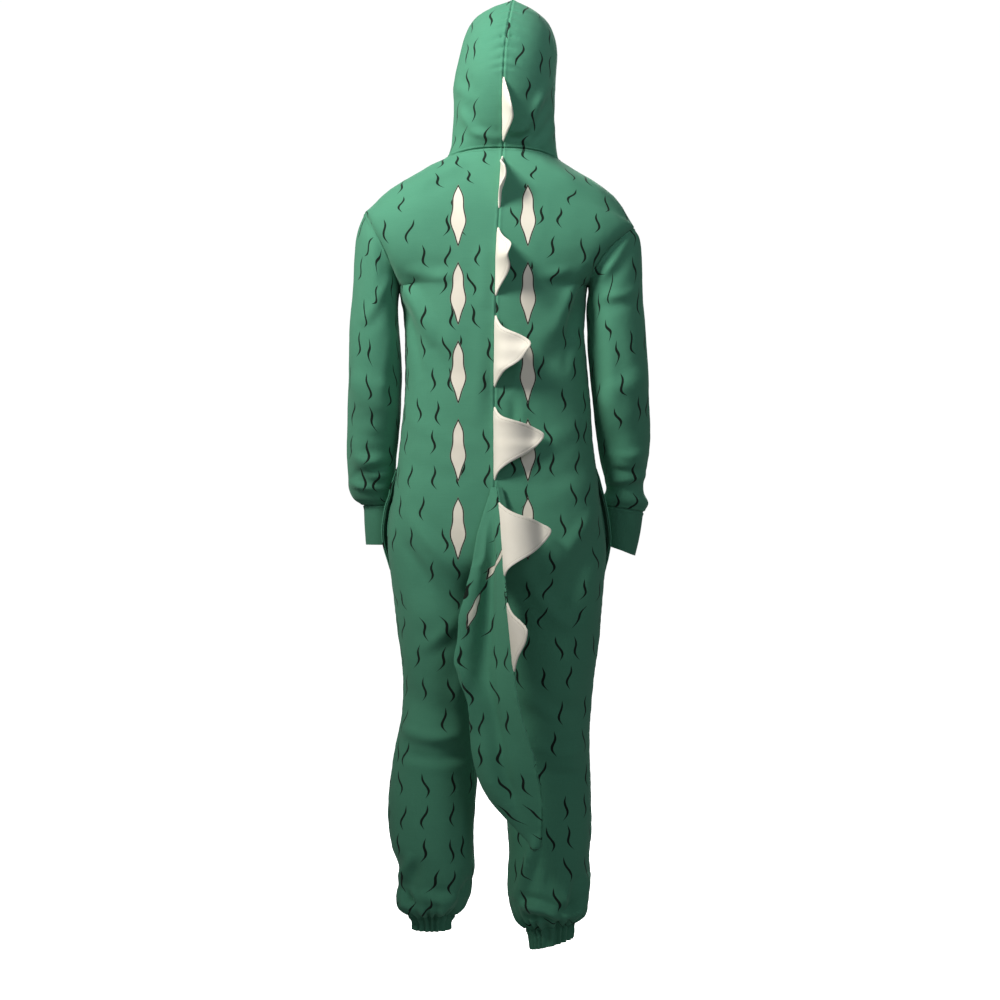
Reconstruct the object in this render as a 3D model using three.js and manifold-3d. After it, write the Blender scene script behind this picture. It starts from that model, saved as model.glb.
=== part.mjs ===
// Hooded costume jumpsuit with a hanging tail and soft back spikes, worn, hollow and without its wearer.
// Millimetres. +X is the wearer's right, +Y the way the wearer faces, +Z up.
// The origin is the middle of the neck, level with the top of the shoulders.
// Every cloth piece is a thin wall: its outer points come from the tables below, its inner points
// lie one cloth thickness inside them, and neighbouring pieces share the points of their seam.
import * as THREE from 'three';
import { mergeVertices } from 'three/addons/utils/BufferGeometryUtils.js';
import Module from 'manifold-3d';

const wasm = await Module();
wasm.setup();

// ---------------------------------------------------------------- driving dimensions
const CLOTH = 2;          // brushed knit with its nap
const CUFF_CLOTH = 3;     // folded double
const SEAM_GAP = 0.3;     // between the edges of two joined pieces
const LAY_GAP = 0.5;      // between a piece and the panel that it lies on
const TAIL_GAP = 0.9;     // between the tail's root and the uneven seat
const MITRE_LIMIT = 1.2;  // in cloth thicknesses, the most that a wall measures through a corner
const TAIL_MITRE_LIMIT = 4.5;   // at the tail's sharp edges
const SAME_SPOT = 0.02;   // points nearer than this are one

const UNDERARM_Z = -230;  // armholes end and side seams start
const SEAT_Z = -740;      // the halves start to close into legs
const CROTCH_Z = -880;
const QUARTER = 8;        // steps across a panel, also half the steps round a sleeve
const SHOULDER_STEPS = 4;
const TORSO_STEPS = 12;
const SEAT_STEPS = 4;
const LEG_STEPS = 14;
const SLEEVE_STEPS = 14;
const WAIST_STEP = 18;    // row of a panel where its upper solid ends
const SLEEVE_MEETINGS = [5, 7, 9];   // rows of a sleeve where its four solids meet
const SQUARENESS = 0.84;  // 1 is an ellipse, less is a squarer torso
const FACE_LIMIT = 0.98;  // of a hood row's width, the most that its face opening takes

const ZIP_HALF = 6;       // half the slot between the front edges
const ZIP_END_Z = -620;
const ZIP_TAPER = 35;     // the slot closes over this height
const TAPE_CLOTH = 1.2;
const TAPE_LAP = 10;      // tape sewn under each front edge
const TAPE_GAP = 0.8;     // behind the front edge, which folds of the cloth bend

const POCKET_TOP_Z = -570;
const POCKET_BOTTOM_Z = -775;
const POCKET_BOW = 14;    // the mouth gapes by this much
const BOW_ROUNDNESS = 1.2;   // more keeps the gape nearer the middle of the mouth
const BOW_NARROWNESS = 5;    // more keeps it nearer the side seam
const BOW_FORWARD = 1 / 3;   // of the gape, towards the front
const POCKET_CLOTH = 1;
const POCKET_COLUMNS = 4; // columns of the front panel that the bag lies behind
const POCKET_FULLNESS = 6;
const POCKET_TURN = 5;    // how far the bag's fold reaches past its last column
const SIDE_SLACK = 1.5;   // between the bag's layers where they meet the side seam

const CASING_FOLDS = 4;   // points for each gather of an ankle casing
const GATHER_DEPTH = 3;

const SPIKE_THICK = 5;
const SPIKE_GAP = 0.8;    // between a spike's straight base and the curved seam
const SPIKE_BLUNT = 0.4;  // cut off its tip
const SPIKE_ROWS = 9;
const SPIKE_COLUMNS = 6;
const SPIKE_CURVE_STEPS = 60;
const SPIKE_BENT_BY = 5 / 6; // of its height, where a spike has its full lean

const COLOURS = {
  knit: 0x4c9674,
  knitShade: 0x3f8466,
  rib: 0x3c7d60,
  cream: 0xeae6da,
  tape: 0x2f5f49,
  metal: 0x8d8f8c,
};

const table = (columns, rows) => rows.map(
  (row) => Object.fromEntries(columns.map((name, i) => [name, row[i]])));

// Centre line of the body: height, sideways place, back and front depth.
const CENTRE = table(['z', 'x', 'back', 'front'], [
  [25, 6, -75, 40],
  [0, 4, -89, 55],
  [-30, 2, -100, 70],
  [-60, 0, -108, 90],
  [-100, -2, -115, 105],
  [-160, -5, -121, 117],
  [-230, -7, -124, 123],
  [-350, -9, -120, 126],
  [-450, -10, -113, 124],
  [-550, -10, -116, 120],
  [-650, -10, -130, 118],
  [-720, -11, -136, 116],
  [-800, -13, -130, 106],
  [-880, -14, -112, 92],
]);
const NECK_BACK_Z = 25;
const NECK_FRONT_Z = -30;

// Side seams of the torso.
const SIDES = table(['z', 'left', 'right'], [
  [-230, -190, 167],
  [-300, -183, 158],
  [-350, -180, 161],
  [-410, -178.5, 167],
  [-465, -182, 172],
  [-540, -190, 178],
  [-600, -198, 184],
  [-655, -208, 191],
  [-712, -214, 198],
  [-770, -208, 198],
  [-820, -200, 195],
  [-880, -194, 189],
]);

// Shoulder seams, from the neck to the tip.
const SHOULDERS = {
  left: table(['x', 'y', 'z'], [
    [-100, -4, 12],
    [-128, -6, 0],
    [-170, -7, -24],
    [-215, -5, -52],
    [-255, 0, -91],
  ]),
  right: table(['x', 'y', 'z'], [
    [112, -4, 7],
    [138, -6, -8],
    [180, -7, -34],
    [220, -5, -66],
    [254, 0, -119],
  ]),
};

// Rings of the limbs. Each runs through an outer and an inner point, and is 2 x depth from front to back.
const RING = ['outX', 'outZ', 'inX', 'inZ', 'y', 'depth', 'scoop'];
const SLEEVES = {
  left: table(RING, [
    [-255, -91, -190, -230, 0, 78, 4],
    [-269, -128, -192.5, -264, 0, 77, 3],
    [-276, -176, -191, -300, 2, 76, 1],
    [-280, -238, -188, -345, 5, 74, 0],
    [-285, -303, -187, -388, 9, 73, 0],
    [-288, -368, -188, -432, 16, 72, 0],
    [-290, -430, -190, -477, 26, 70, 0],
    [-292, -490, -194, -522, 40, 67, 0],
    [-293, -545, -199, -562, 56, 63, 0],
    [-291, -588, -201, -595, 72, 59, 0],
    [-290, -614, -198, -618, 84, 56, 0],
    [-281, -634, -190, -636, 92, 52, 0],
    [-262, -645, -188, -645, 95, 42, 0],
  ]),
  right: table(RING, [
    [254, -119, 167, -230, 0, 76, 16],
    [267, -142, 166, -262, 0, 76, 9],
    [271, -182, 165, -298, 1, 75, 4],
    [273, -245, 166, -340, 3, 74, 1],
    [277, -305, 170, -384, 6, 73, 0],
    [281, -368, 174, -430, 12, 72, 0],
    [284, -430, 179, -477, 20, 70, 0],
    [286, -492, 185, -522, 31, 67, 0],
    [285, -546, 192, -562, 44, 63, 0],
    [278, -590, 202, -596, 56, 57, 0],
    [276, -620, 204, -618, 64, 52, 0],
    [285, -642, 195, -634, 70, 53, 0],
    [275, -659, 197, -645, 74, 44, 0],
  ]),
};
const CUFFS = {
  left: table(RING, [
    [-262, -645, -188, -645, 95, 42, 0],
    [-261, -684, -191, -684, 98, 40, 0],
    [-258, -722, -196, -722, 100, 36, 0],
  ]),
  right: table(RING, [
    [275, -659, 197, -645, 74, 44, 0],
    [269, -702, 200, -684, 78, 41, 0],
    [260, -743, 205, -722, 82, 37, 0],
  ]),
};
const LEGS = {
  left: table(RING, [
    [-194, -880, -14, -880, -10, 102, 0],
    [-188, -930, -23, -930, -6, 97, 0],
    [-184, -985, -30, -985, 0, 91, 0],
    [-188, -1050, -38, -1050, 5, 86, 0],
    [-198, -1098, -41, -1098, 6, 84, 0],
    [-207, -1161, -44, -1161, 4, 84, 0],
    [-211, -1215, -48, -1215, 0, 86, 0],
    [-209, -1263, -51, -1263, -4, 88, 0],
    [-202, -1300, -51, -1300, -6, 88, 0],
    [-190, -1332, -49, -1332, -6, 84, 0],
    [-188, -1362, -53, -1362, -6, 82, 0],
    [-196, -1388, -60, -1388, -6, 84, 0],
    [-192, -1408, -70, -1408, -5, 76, 0],
    [-174, -1420, -86, -1420, -3, 55, 0],
  ]),
  right: table(RING, [
    [189, -880, -14, -880, -10, 102, 0],
    [183, -930, -9, -930, -6, 99, 0],
    [176, -985, -3, -985, 0, 93, 0],
    [170, -1050, 4, -1050, 5, 88, 0],
    [169, -1105, 9, -1105, 6, 85, 0],
    [171, -1165, 11, -1165, 4, 84, 0],
    [173, -1220, 12, -1220, 0, 86, 0],
    [173, -1268, 15, -1268, -4, 88, 0],
    [169, -1305, 17, -1305, -6, 88, 0],
    [170, -1340, 15, -1340, -6, 85, 0],
    [171, -1375, 15, -1375, -6, 83, 0],
    [168, -1404, 21, -1406, -6, 82, 0],
    [160, -1424, 32, -1430, -5, 74, 0],
    [139, -1434, 51, -1446, -3, 54, 0],
  ]),
};
const ANKLES = {
  left: table(RING, [
    [-174, -1420, -86, -1420, -3, 55, 0],
    [-166, -1436, -94, -1436, -2, 49, 0],
    [-165, -1450, -95, -1450, -2, 48, 0],
  ]),
  right: table(RING, [
    [139, -1434, 51, -1446, -3, 54, 0],
    [139, -1450, 56, -1466, -2, 49, 0],
    [138, -1466, 58, -1488, -2, 48, 0],
  ]),
};

// Hood rows above the neckline. The face edge is faceX from the middle.
const HOOD = table(['seamX', 'midX', 'backY', 'backZ', 'width', 'faceX', 'faceY', 'faceZ'], [
  [6, 8, -97, 60, 99, 44, 84, 18],
  [6, 8, -113, 97, 96.5, 60, 90, 56],
  [6, 9, -124, 133, 96, 68, 93, 97],
  [7, 9, -127, 168, 96, 70, 95, 136],
  [9, 12, -121, 201, 94.5, 69, 96, 170],
  [12, 16, -108, 232, 92, 67, 97, 202],
  [16, 18, -91, 259, 86, 62, 97, 230],
  [20, 19, -72, 280, 76, 55, 96, 255],
  [22, 20, -56, 294, 62, 46, 94, 271],
  [24, 21, -44, 303, 40, 31, 91, 281],
  [25, 25, -34, 309, 0, 0, 88, 288],
]);

// Tail sections. left and ridge are seen from behind; the keel side faces the legs.
const TAIL = table(['z', 'rootX', 'rootHalf', 'keelY', 'leftX', 'leftY', 'foldX', 'foldY', 'ridgeX', 'ridgeY'], [
  [-612.5, -9, 6, -127, -17, -131, -12, -135, -7, -140],
  [-655, -9, 15, -131, -30, -142, -16, -147, 0, -160],
  [-697.5, -10, 22, -135, -42, -152, -21, -155, 3, -176],
  [-740, -11, 26, -136, -50, -162, -22, -160, 6, -192],
  [-775, -12, 0.3, -136, -56, -171, -21, -165, 9, -204],
  [-810, -13, 0.3, -133, -62, -178, -21, -169, 12, -213],
  [-860, -14, 0.3, -136, -72, -187, -23, -174, 17, -223],
  [-921, -14, 0.3, -139, -82, -193, -27, -180, 23, -230],
  [-955, -13, 0.3, -141, -78, -196, -32, -184, 27, -232],
  [-1000, -9, 0.3, -144, -61, -197, -38, -189, 33, -232],
  [-1050, -4, 0.3, -147, -55, -193, -33, -190, 45, -230],
  [-1102, 4, 0.3, -150, -51, -191, -36, -196, 61, -226],
  [-1142, 14, 0.3, -152, -42, -188, -22, -199, 70, -221],
  [-1182, 28, 0.3, -154, -23, -185, -2, -198, 78, -214],
  [-1212, 40, 0.3, -158, 0, -184, 20, -196, 79, -208],
  [-1244, 54, 0.3, -166, 30, -185, 45, -195, 78, -202],
  [-1275, 67, 0.3, -178, 58, -187, 63, -194, 76, -196],
]);
const TAIL_ROOT_END_Z = -760;
const TAIL_LEFT_STEPS = 6;    // two for each of its three stretches
const TAIL_RIGHT_STEPS = 4;   // two for each of its two
const TAIL_BULGE = 8;         // of the right half, and a share more where the root is wide
const TAIL_ROOT_BULGE = 0.25;

// Spikes: where each is sewn, its top and bottom, how far it stands out, and its lean to the wearer's right.
const SPIKES = table(['on', 'top', 'bottom', 'height', 'lean'], [
  ['hood', 152, 36, 48, 0.05],
  ['back', 8, -92, 54, -0.15],
  ['back', -128, -256, 66, 0.25],
  ['back', -292, -426, 80, 0.55],
  ['back', -462, -600, 92, 1.1],
  ['tail', -640, -776, 96, 1.15],
  ['tail', -824, -950, 58, 0.2],
]);

// A spike's free edge from its top to its bottom, as shares of its length and height.
const SPIKE_OUTLINE = table(['along', 'out'], [
  [1, 0],
  [0.86, 0.3],
  [0.72, 0.78],
  [0.62, 1],
  [0.48, 0.88],
  [0.2, 0.34],
  [0, 0],
]);

// Large soft folds: a ridge (or a dent where height is less than 0) from one point to another.
const FOLDS = table(['x1', 'y1', 'z1', 'x2', 'y2', 'z2', 'width', 'height'], [
  [-185, -60, -250, -110, -120, -330, 26, 5],
  [-180, -50, -290, -100, -120, -400, 26, -4],
  [165, -60, -240, 90, -120, -330, 26, 5],
  [155, -50, -285, 80, -120, -400, 26, -4],
  [-180, 60, -250, -100, 120, -330, 26, 5],
  [160, 60, -250, 90, 120, -330, 26, 5],
  [-280, -30, -420, -210, -40, -460, 26, 5],
  [-285, -20, -490, -215, -30, -520, 24, -4],
  [280, -40, -400, 200, -50, -450, 26, 5],
  [280, -20, -480, 205, -30, -530, 24, -4],
  [-280, -10, -560, -215, 20, -590, 22, 5],
  [275, -20, -560, 215, 0, -585, 22, 5],
  [-150, -110, -800, -60, -105, -860, 30, -5],
  [140, -110, -800, 50, -105, -850, 30, -5],
  [-170, -60, -1010, -60, -85, -1040, 26, -5],
  [-185, -60, -1070, -60, -80, -1085, 26, 5],
  [160, -60, -1030, 20, -80, -1050, 26, -5],
  [160, -60, -1085, 30, -80, -1100, 26, 5],
  [-190, -60, -1290, -70, -85, -1350, 26, 5],
  [-170, -70, -1345, -60, -80, -1385, 24, 5],
  [160, -60, -1300, 40, -85, -1350, 26, 5],
  [150, -70, -1360, 30, -80, -1400, 24, 5],
  [-170, 80, -1010, -60, 90, -1030, 26, 5],
  [160, 80, -1010, 20, 90, -1030, 26, 5],
  [-170, 70, -1330, -60, 80, -1370, 26, 5],
  [150, 70, -1340, 30, 80, -1385, 26, 5],
  [-120, 120, -500, 0, 130, -560, 30, 4],
  [110, 120, -540, 20, 125, -600, 30, 4],
]);

// ---------------------------------------------------------------- curves through tables
// A smooth value between the rows of a table, with the row's place given by its key column.
function between(rows, key, value, column) {
  const last = rows.length - 2;
  const rising = rows[rows.length - 1][key] > rows[0][key];
  let i = 0;
  while (i < last && (rising ? value > rows[i + 1][key] : value < rows[i + 1][key])) {
    i += 1;
  }
  const slope = (k) => {
    const a = rows[Math.max(k - 1, 0)];
    const b = rows[Math.min(k + 1, rows.length - 1)];
    return (b[column] - a[column]) / (b[key] - a[key]);
  };
  const span = rows[i + 1][key] - rows[i][key];
  const t = (value - rows[i][key]) / span;
  const h = t * t * (3 - 2 * t);
  const inSlope = t * (1 - t) * (1 - t) * span * slope(i);
  const outSlope = t * t * (t - 1) * span * slope(i + 1);
  return rows[i][column] * (1 - h) + rows[i + 1][column] * h + inSlope + outSlope;
}

// A whole row at a place from 0 to 1 along a table that has no key.
function rowAlong(rows, place) {
  const numbered = rows.map((row, index) => ({ ...row, index }));
  const at = place * (rows.length - 1);
  return Object.fromEntries(Object.keys(rows[0]).map((name) => [name, between(numbered, 'index', at, name)]));
}

const smooth = (t) => {
  const s = THREE.MathUtils.clamp(t, 0, 1);
  return s * s * (3 - 2 * s);
};
const steps = (count) => Array.from({ length: count + 1 }, (_, i) => i / count);
const sideSign = { left: -1, right: 1 };
const faceSign = { back: -1, front: 1 };

// The point of a limb's ring at an angle from its outer point, going round by the back.
function ringPoint(ring, angle, side) {
  const across = Math.cos(angle);
  const scoop = sideSign[side] * ring.scoop * Math.sin(angle) ** 2;
  return new THREE.Vector3(
    (ring.outX + ring.inX) / 2 + across * (ring.outX - ring.inX) / 2 - scoop,
    ring.y - ring.depth * Math.sin(angle),
    (ring.outZ + ring.inZ) / 2 + across * (ring.outZ - ring.inZ) / 2);
}

// ---------------------------------------------------------------- body
// The front edges stand apart for the zip down to its end.
const slotHalf = (z) => ZIP_HALF * smooth((z - ZIP_END_Z + ZIP_TAPER) / ZIP_TAPER);

// One row of a quarter of the body, from the centre line to its edge at the shoulder, armhole or side.
function quarterRow(centre, edge) {
  return steps(QUARTER).map((t) => {
    const angle = t * Math.PI / 2;
    const out = Math.sin(angle) ** SQUARENESS;
    const keep = Math.max(Math.cos(angle), 0) ** SQUARENESS;
    return new THREE.Vector3(
      centre.x + (edge.x - centre.x) * out,
      edge.y + (centre.y - edge.y) * keep,
      centre.z + (edge.z - centre.z) * (1 - keep * keep));
  });
}

function centrePoint(side, face, z) {
  const slot = face === 'front' ? slotHalf(z) : 0;
  return new THREE.Vector3(
    between(CENTRE, 'z', z, 'x') + sideSign[side] * slot, between(CENTRE, 'z', z, face), z);
}

// How far the front edge of the pocket mouth bows out at a height.
function pocketBow(z) {
  const t = (POCKET_TOP_Z - z) / (POCKET_TOP_Z - POCKET_BOTTOM_Z);
  return t > 0 && t < 1 ? POCKET_BOW * Math.sin(Math.PI * t) ** BOW_ROUNDNESS : 0;
}

// Rows from the neckline to the ankle. The last ones turn the half body into a leg.
function bodyGrid(side, face) {
  const rows = [];
  const top = face === 'back' ? NECK_BACK_Z : NECK_FRONT_Z;
  const upper = SHOULDER_STEPS + QUARTER;
  for (let i = 0; i < upper; i += 1) {
    const centre = centrePoint(side, face, top + (UNDERARM_Z - top) * i / upper);
    const round = (i - SHOULDER_STEPS) / QUARTER;
    const seam = rowAlong(SHOULDERS[side], Math.min(i / SHOULDER_STEPS, 1));
    const angle = -faceSign[face] * Math.PI * round;
    const edge = round < 0
      ? new THREE.Vector3(seam.x, seam.y, seam.z)
      : ringPoint(SLEEVES[side][0], angle, side);
    rows.push(quarterRow(centre, edge));
  }
  const torso = steps(TORSO_STEPS).map((t) => UNDERARM_Z + (SEAT_Z - UNDERARM_Z) * t);
  const seat = steps(SEAT_STEPS).slice(1).map((t) => SEAT_Z + (CROTCH_Z - SEAT_Z) * t);
  for (const z of [...torso, ...seat]) {
    const centre = centrePoint(side, face, z);
    const edge = new THREE.Vector3(between(SIDES, 'z', z, side), 0, z);
    const middle = (between(CENTRE, 'z', z, 'front') + between(CENTRE, 'z', z, 'back')) / 2;
    const ring = {
      outX: edge.x, outZ: z, inX: centre.x, inZ: z, y: middle, scoop: 0,
      depth: (between(CENTRE, 'z', z, 'front') - between(CENTRE, 'z', z, 'back')) / 2,
    };
    const closing = smooth((SEAT_Z - z) / (SEAT_Z - CROTCH_Z));
    const bow = face === 'front' ? pocketBow(z) : 0;
    rows.push(quarterRow(centre, edge).map((point, i) => {
      const angle = Math.PI + faceSign[face] * Math.PI * i / QUARTER;
      const gape = bow * (i / QUARTER) ** BOW_NARROWNESS;
      point.lerp(ringPoint(ring, angle, side), closing);
      return point.add(new THREE.Vector3(sideSign[side] * gape, gape * BOW_FORWARD, 0));
    }));
  }
  const crotch = rows.length - 1;
  for (const t of steps(LEG_STEPS).slice(1)) {
    const ring = rowAlong(LEGS[side], t);
    rows.push(steps(QUARTER).map((u) => ringPoint(ring, Math.PI + faceSign[face] * Math.PI * u, side)));
  }
  const onArmhole = (i) => i >= SHOULDER_STEPS && i < upper;
  return { grid: rows, crotch, turnedRim: face === 'front' ? onArmhole : undefined };
}

// ---------------------------------------------------------------- limbs and hood
function ringGrid(rings, count, rowCount, side) {
  return steps(rowCount).map((t) => {
    const ring = rowAlong(rings, t);
    return Array.from({ length: count }, (_, i) => ringPoint(ring, i / count * 2 * Math.PI, side));
  });
}

// A half of the hood. Its lowest row is the neckline, its first column the seam over the head.
function hoodGrid(side, neckline) {
  const rows = HOOD.map((row) => {
    const faceAngle = Math.PI - Math.asin(Math.min(row.faceX / Math.max(row.width, 1), FACE_LIMIT));
    return steps(2 * QUARTER).map((t) => {
      const angle = t * faceAngle;
      const forward = (1 - Math.cos(angle)) / (1 - Math.cos(faceAngle));
      return new THREE.Vector3(
        row.seamX + (row.midX - row.seamX) * Math.sin(angle) + sideSign[side] * row.width * Math.sin(angle),
        row.backY + (row.faceY - row.backY) * forward,
        row.backZ + (row.faceZ - row.backZ) * forward);
    });
  });
  return [neckline, ...rows];
}

// ---------------------------------------------------------------- tail
const ON_CELL = 1e-6;   // how far outside a cell a point may lie, by rounding alone

// The outer face of the back at a place, found on the cells of the back panels.
function backDepth(grids, x, z) {
  const cell = new THREE.Triangle();
  const weight = new THREE.Vector3();
  for (const grid of grids) {
    for (let i = 0; i + 1 < grid.length; i += 1) {
      for (let j = 0; j < QUARTER; j += 1) {
        const corners = [grid[i][j], grid[i + 1][j], grid[i + 1][j + 1], grid[i][j + 1]];
        for (const [a, b, c] of [[0, 1, 2], [0, 2, 3]]) {
          const flat = [corners[a], corners[b], corners[c]].map((p) => new THREE.Vector3(p.x, p.z, 0));
          cell.set(...flat);
          if (cell.getBarycoord(new THREE.Vector3(x, z, 0), weight)
              && Math.min(weight.x, weight.y, weight.z) >= -ON_CELL) {
            return corners[a].y * weight.x + corners[b].y * weight.y + corners[c].y * weight.z;
          }
        }
      }
    }
  }
  throw new Error(`the back has no point at ${x}, ${z}`);
}

function tailGrid(side, backGrids) {
  const count = side === 'left' ? TAIL_LEFT_STEPS : TAIL_RIGHT_STEPS;
  return TAIL.map((row) => {
    const rootX = row.rootX + sideSign[side] * row.rootHalf;
    const onBack = row.z > TAIL_ROOT_END_Z;
    const rootY = onBack ? backDepth(backGrids, rootX, row.z) - TAIL_GAP : row.keelY;
    const ridge = new THREE.Vector3(row.ridgeX, row.ridgeY, row.z);
    const root = new THREE.Vector3(onBack ? rootX : row.rootX, rootY, row.z);
    const bulge = root.clone().add(ridge).divideScalar(2);
    bulge.x += TAIL_BULGE + row.rootHalf * TAIL_ROOT_BULGE;
    const left = new THREE.Vector3(row.leftX, row.leftY, row.z);
    const fold = new THREE.Vector3(row.foldX, row.foldY, row.z);
    const points = side === 'left' ? [root, left, fold, ridge] : [root, bulge, ridge];
    return new THREE.CatmullRomCurve3(points, false, 'centripetal').getPoints(count);
  });
}

// The middle of the tail's hollow at a height.
function tailCore(z) {
  const at = (column) => between(TAIL, 'z', z, column);
  return new THREE.Vector3(
    (at('rootX') + at('leftX') + at('ridgeX')) / 3, (at('keelY') + at('leftY') + at('ridgeY')) / 3, z);
}

// ---------------------------------------------------------------- normals and folds
const spot = (p) => [p.x, p.y, p.z].map((v) => Math.round(v / SAME_SPOT)).join();

// Normals at every grid point, averaged over all pieces that share the point, and how many cloth
// thicknesses further in its inner point lies, more than 1 where the cloth turns a corner.
function weldedNormals(sheets) {
  const sums = new Map();
  for (const sheet of sheets) {
    const { grid, closed } = sheet;
    const across = closed ? grid[0].length : grid[0].length - 1;
    const faces = [];
    const middle = new THREE.Vector3();
    for (let i = 0; i + 1 < grid.length; i += 1) {
      for (let j = 0; j < across; j += 1) {
        const k = (j + 1) % grid[0].length;
        const corners = [grid[i][j], grid[i + 1][j], grid[i + 1][k], grid[i][k]];
        const normal = corners[2].clone().sub(corners[0]).cross(corners[3].clone().sub(corners[1]));
        const centre = corners.reduce((sum, p) => sum.add(p), new THREE.Vector3()).divideScalar(4);
        middle.add(centre);
        faces.push({ corners, normal, centre });
      }
    }
    middle.divideScalar(faces.length);
    let outward = 0;
    for (const face of faces) {
      const inside = sheet.core ? sheet.core(face.centre.z) : middle;
      outward += face.normal.dot(face.centre.clone().sub(inside));
    }
    for (const { corners, normal } of faces) {
      normal.normalize();
      corners.forEach((corner, k) => {
        const before = corners[(k + 3) % 4].clone().sub(corner);
        const angle = corners[(k + 1) % 4].clone().sub(corner).angleTo(before);
        const sum = sums.get(spot(corner)) ?? { normal: new THREE.Vector3(), angle: 0 };
        sum.normal.addScaledVector(normal, Math.sign(outward) * angle);
        sum.angle += angle;
        sums.set(spot(corner), sum);
      });
    }
  }
  for (const sheet of sheets) {
    const found = sheet.grid.map((row) => row.map((p) => sums.get(spot(p))));
    sheet.normals = found.map((row) => row.map(({ normal }) => normal.clone().normalize()));
    sheet.mitres = found.map((row) => row.map(({ normal, angle }) => (
      Math.min(angle / normal.length(), sheet.mitreLimit ?? MITRE_LIMIT))));
  }
}

// How far the cloth stands out at a point because of the large folds.
function foldHeight(point) {
  let total = 0;
  for (const fold of FOLDS) {
    const start = new THREE.Vector3(fold.x1, fold.y1, fold.z1);
    const end = new THREE.Vector3(fold.x2, fold.y2, fold.z2);
    const nearest = new THREE.Line3(start, end).closestPointToPoint(point, true, new THREE.Vector3());
    total += fold.height * Math.exp(-((nearest.distanceTo(point) / fold.width) ** 2));
  }
  return total;
}

function applyFolds(sheets) {
  weldedNormals(sheets);
  for (const { grid, normals } of sheets) {
    grid.forEach((row, i) => row.forEach((p, j) => p.addScaledVector(normals[i][j], foldHeight(p))));
  }
}

// ---------------------------------------------------------------- walls
// Moves the edges of a grid in, so that joined pieces keep their seam gap.
function trimmed(grid, closed) {
  const inwards = (p, neighbour) => p.clone().add(
    neighbour.clone().sub(p).setLength(SEAM_GAP / 2));
  const rows = grid.map((row) => row.map((p) => p.clone()));
  const last = rows.length - 1;
  grid[0].forEach((p, j) => rows[0][j].copy(inwards(p, grid[1][j])));
  grid[last].forEach((p, j) => rows[last][j].copy(inwards(p, grid[last - 1][j])));
  if (!closed) {
    for (const row of rows) {
      const end = row.length - 1;
      const first = inwards(row[0], row[1]);
      const final = inwards(row[end], row[end - 1]);
      row[0].copy(first);
      row[end].copy(final);
    }
  }
  return rows;
}

function signedVolume(positions, index) {
  let total = 0;
  const corner = (i) => new THREE.Vector3().fromArray(positions, 3 * i);
  for (let i = 0; i < index.length; i += 3) {
    total += corner(index[i]).dot(corner(index[i + 1]).cross(corner(index[i + 2])));
  }
  return total;
}

// A closed wall between an outer and an inner grid. A closed grid is a tube, open at both ends.
// turnedRim names the rows whose far rim is split along its other diagonal, as its neighbour's is.
function wall({ grid, normals, mitres, turnedRim, closed = false, thickness = CLOTH }) {
  const inside = grid.map((row, i) => row.map((p, j) => (
    p.clone().addScaledVector(normals[i][j], -thickness * (mitres?.[i][j] ?? 1)))));
  const layers = [trimmed(grid, closed), trimmed(inside, closed)];
  const rowCount = grid.length;
  const count = grid[0].length;
  const positions = layers.flat(2).flatMap((p) => [p.x, p.y, p.z]);
  const at = (layer, i, j) => (layer * rowCount + i) * count + (j % count);
  const index = [];
  const quad = (a, b, c, d) => index.push(a, b, c, a, c, d);
  const across = closed ? count : count - 1;
  for (let j = 0; j < across; j += 1) {
    for (let i = 0; i + 1 < rowCount; i += 1) {
      quad(at(0, i, j), at(0, i + 1, j), at(0, i + 1, j + 1), at(0, i, j + 1));
      quad(at(1, i, j), at(1, i, j + 1), at(1, i + 1, j + 1), at(1, i + 1, j));
    }
    quad(at(0, 0, j), at(0, 0, j + 1), at(1, 0, j + 1), at(1, 0, j));
    const end = rowCount - 1;
    quad(at(0, end, j), at(1, end, j), at(1, end, j + 1), at(0, end, j + 1));
  }
  if (!closed) {
    for (let i = 0; i + 1 < rowCount; i += 1) {
      quad(at(0, i, 0), at(1, i, 0), at(1, i + 1, 0), at(0, i + 1, 0));
      const rim = [at(0, i, across), at(0, i + 1, across), at(1, i + 1, across), at(1, i, across)];
      quad(...(turnedRim?.(i) ? [...rim.slice(1), rim[0]] : rim));
    }
  }
  if (signedVolume(positions, index) < 0) {
    index.reverse();
  }
  const geometry = new THREE.BufferGeometry();
  geometry.setAttribute('position', new THREE.Float32BufferAttribute(positions, 3));
  geometry.setIndex(index);
  return geometry;
}

// ---------------------------------------------------------------- pieces made from a panel's points
// An elastic casing: each step of the ring above becomes one gather.
function casingSheet(side, topRing, topNormals) {
  const spread = (row, t) => row.flatMap((p, i) => Array.from(
    { length: CASING_FOLDS }, (_, k) => p.clone().lerp(row[(i + 1) % row.length], k / CASING_FOLDS)));
  const grid = [spread(topRing)];
  const normals = spread(topNormals).map((n) => n.normalize());
  for (const ring of ANKLES[side].slice(1)) {
    const row = Array.from({ length: topRing.length }, (_, i) => (
      ringPoint(ring, i / topRing.length * 2 * Math.PI, side)));
    grid.push(spread(row).map((p, i) => p.addScaledVector(
      normals[i], GATHER_DEPTH * (0.5 - Math.cos(i / CASING_FOLDS * 2 * Math.PI) / 2))));
  }
  return { grid, normals: grid.map(() => normals), closed: true, thickness: CLOTH };
}

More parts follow.
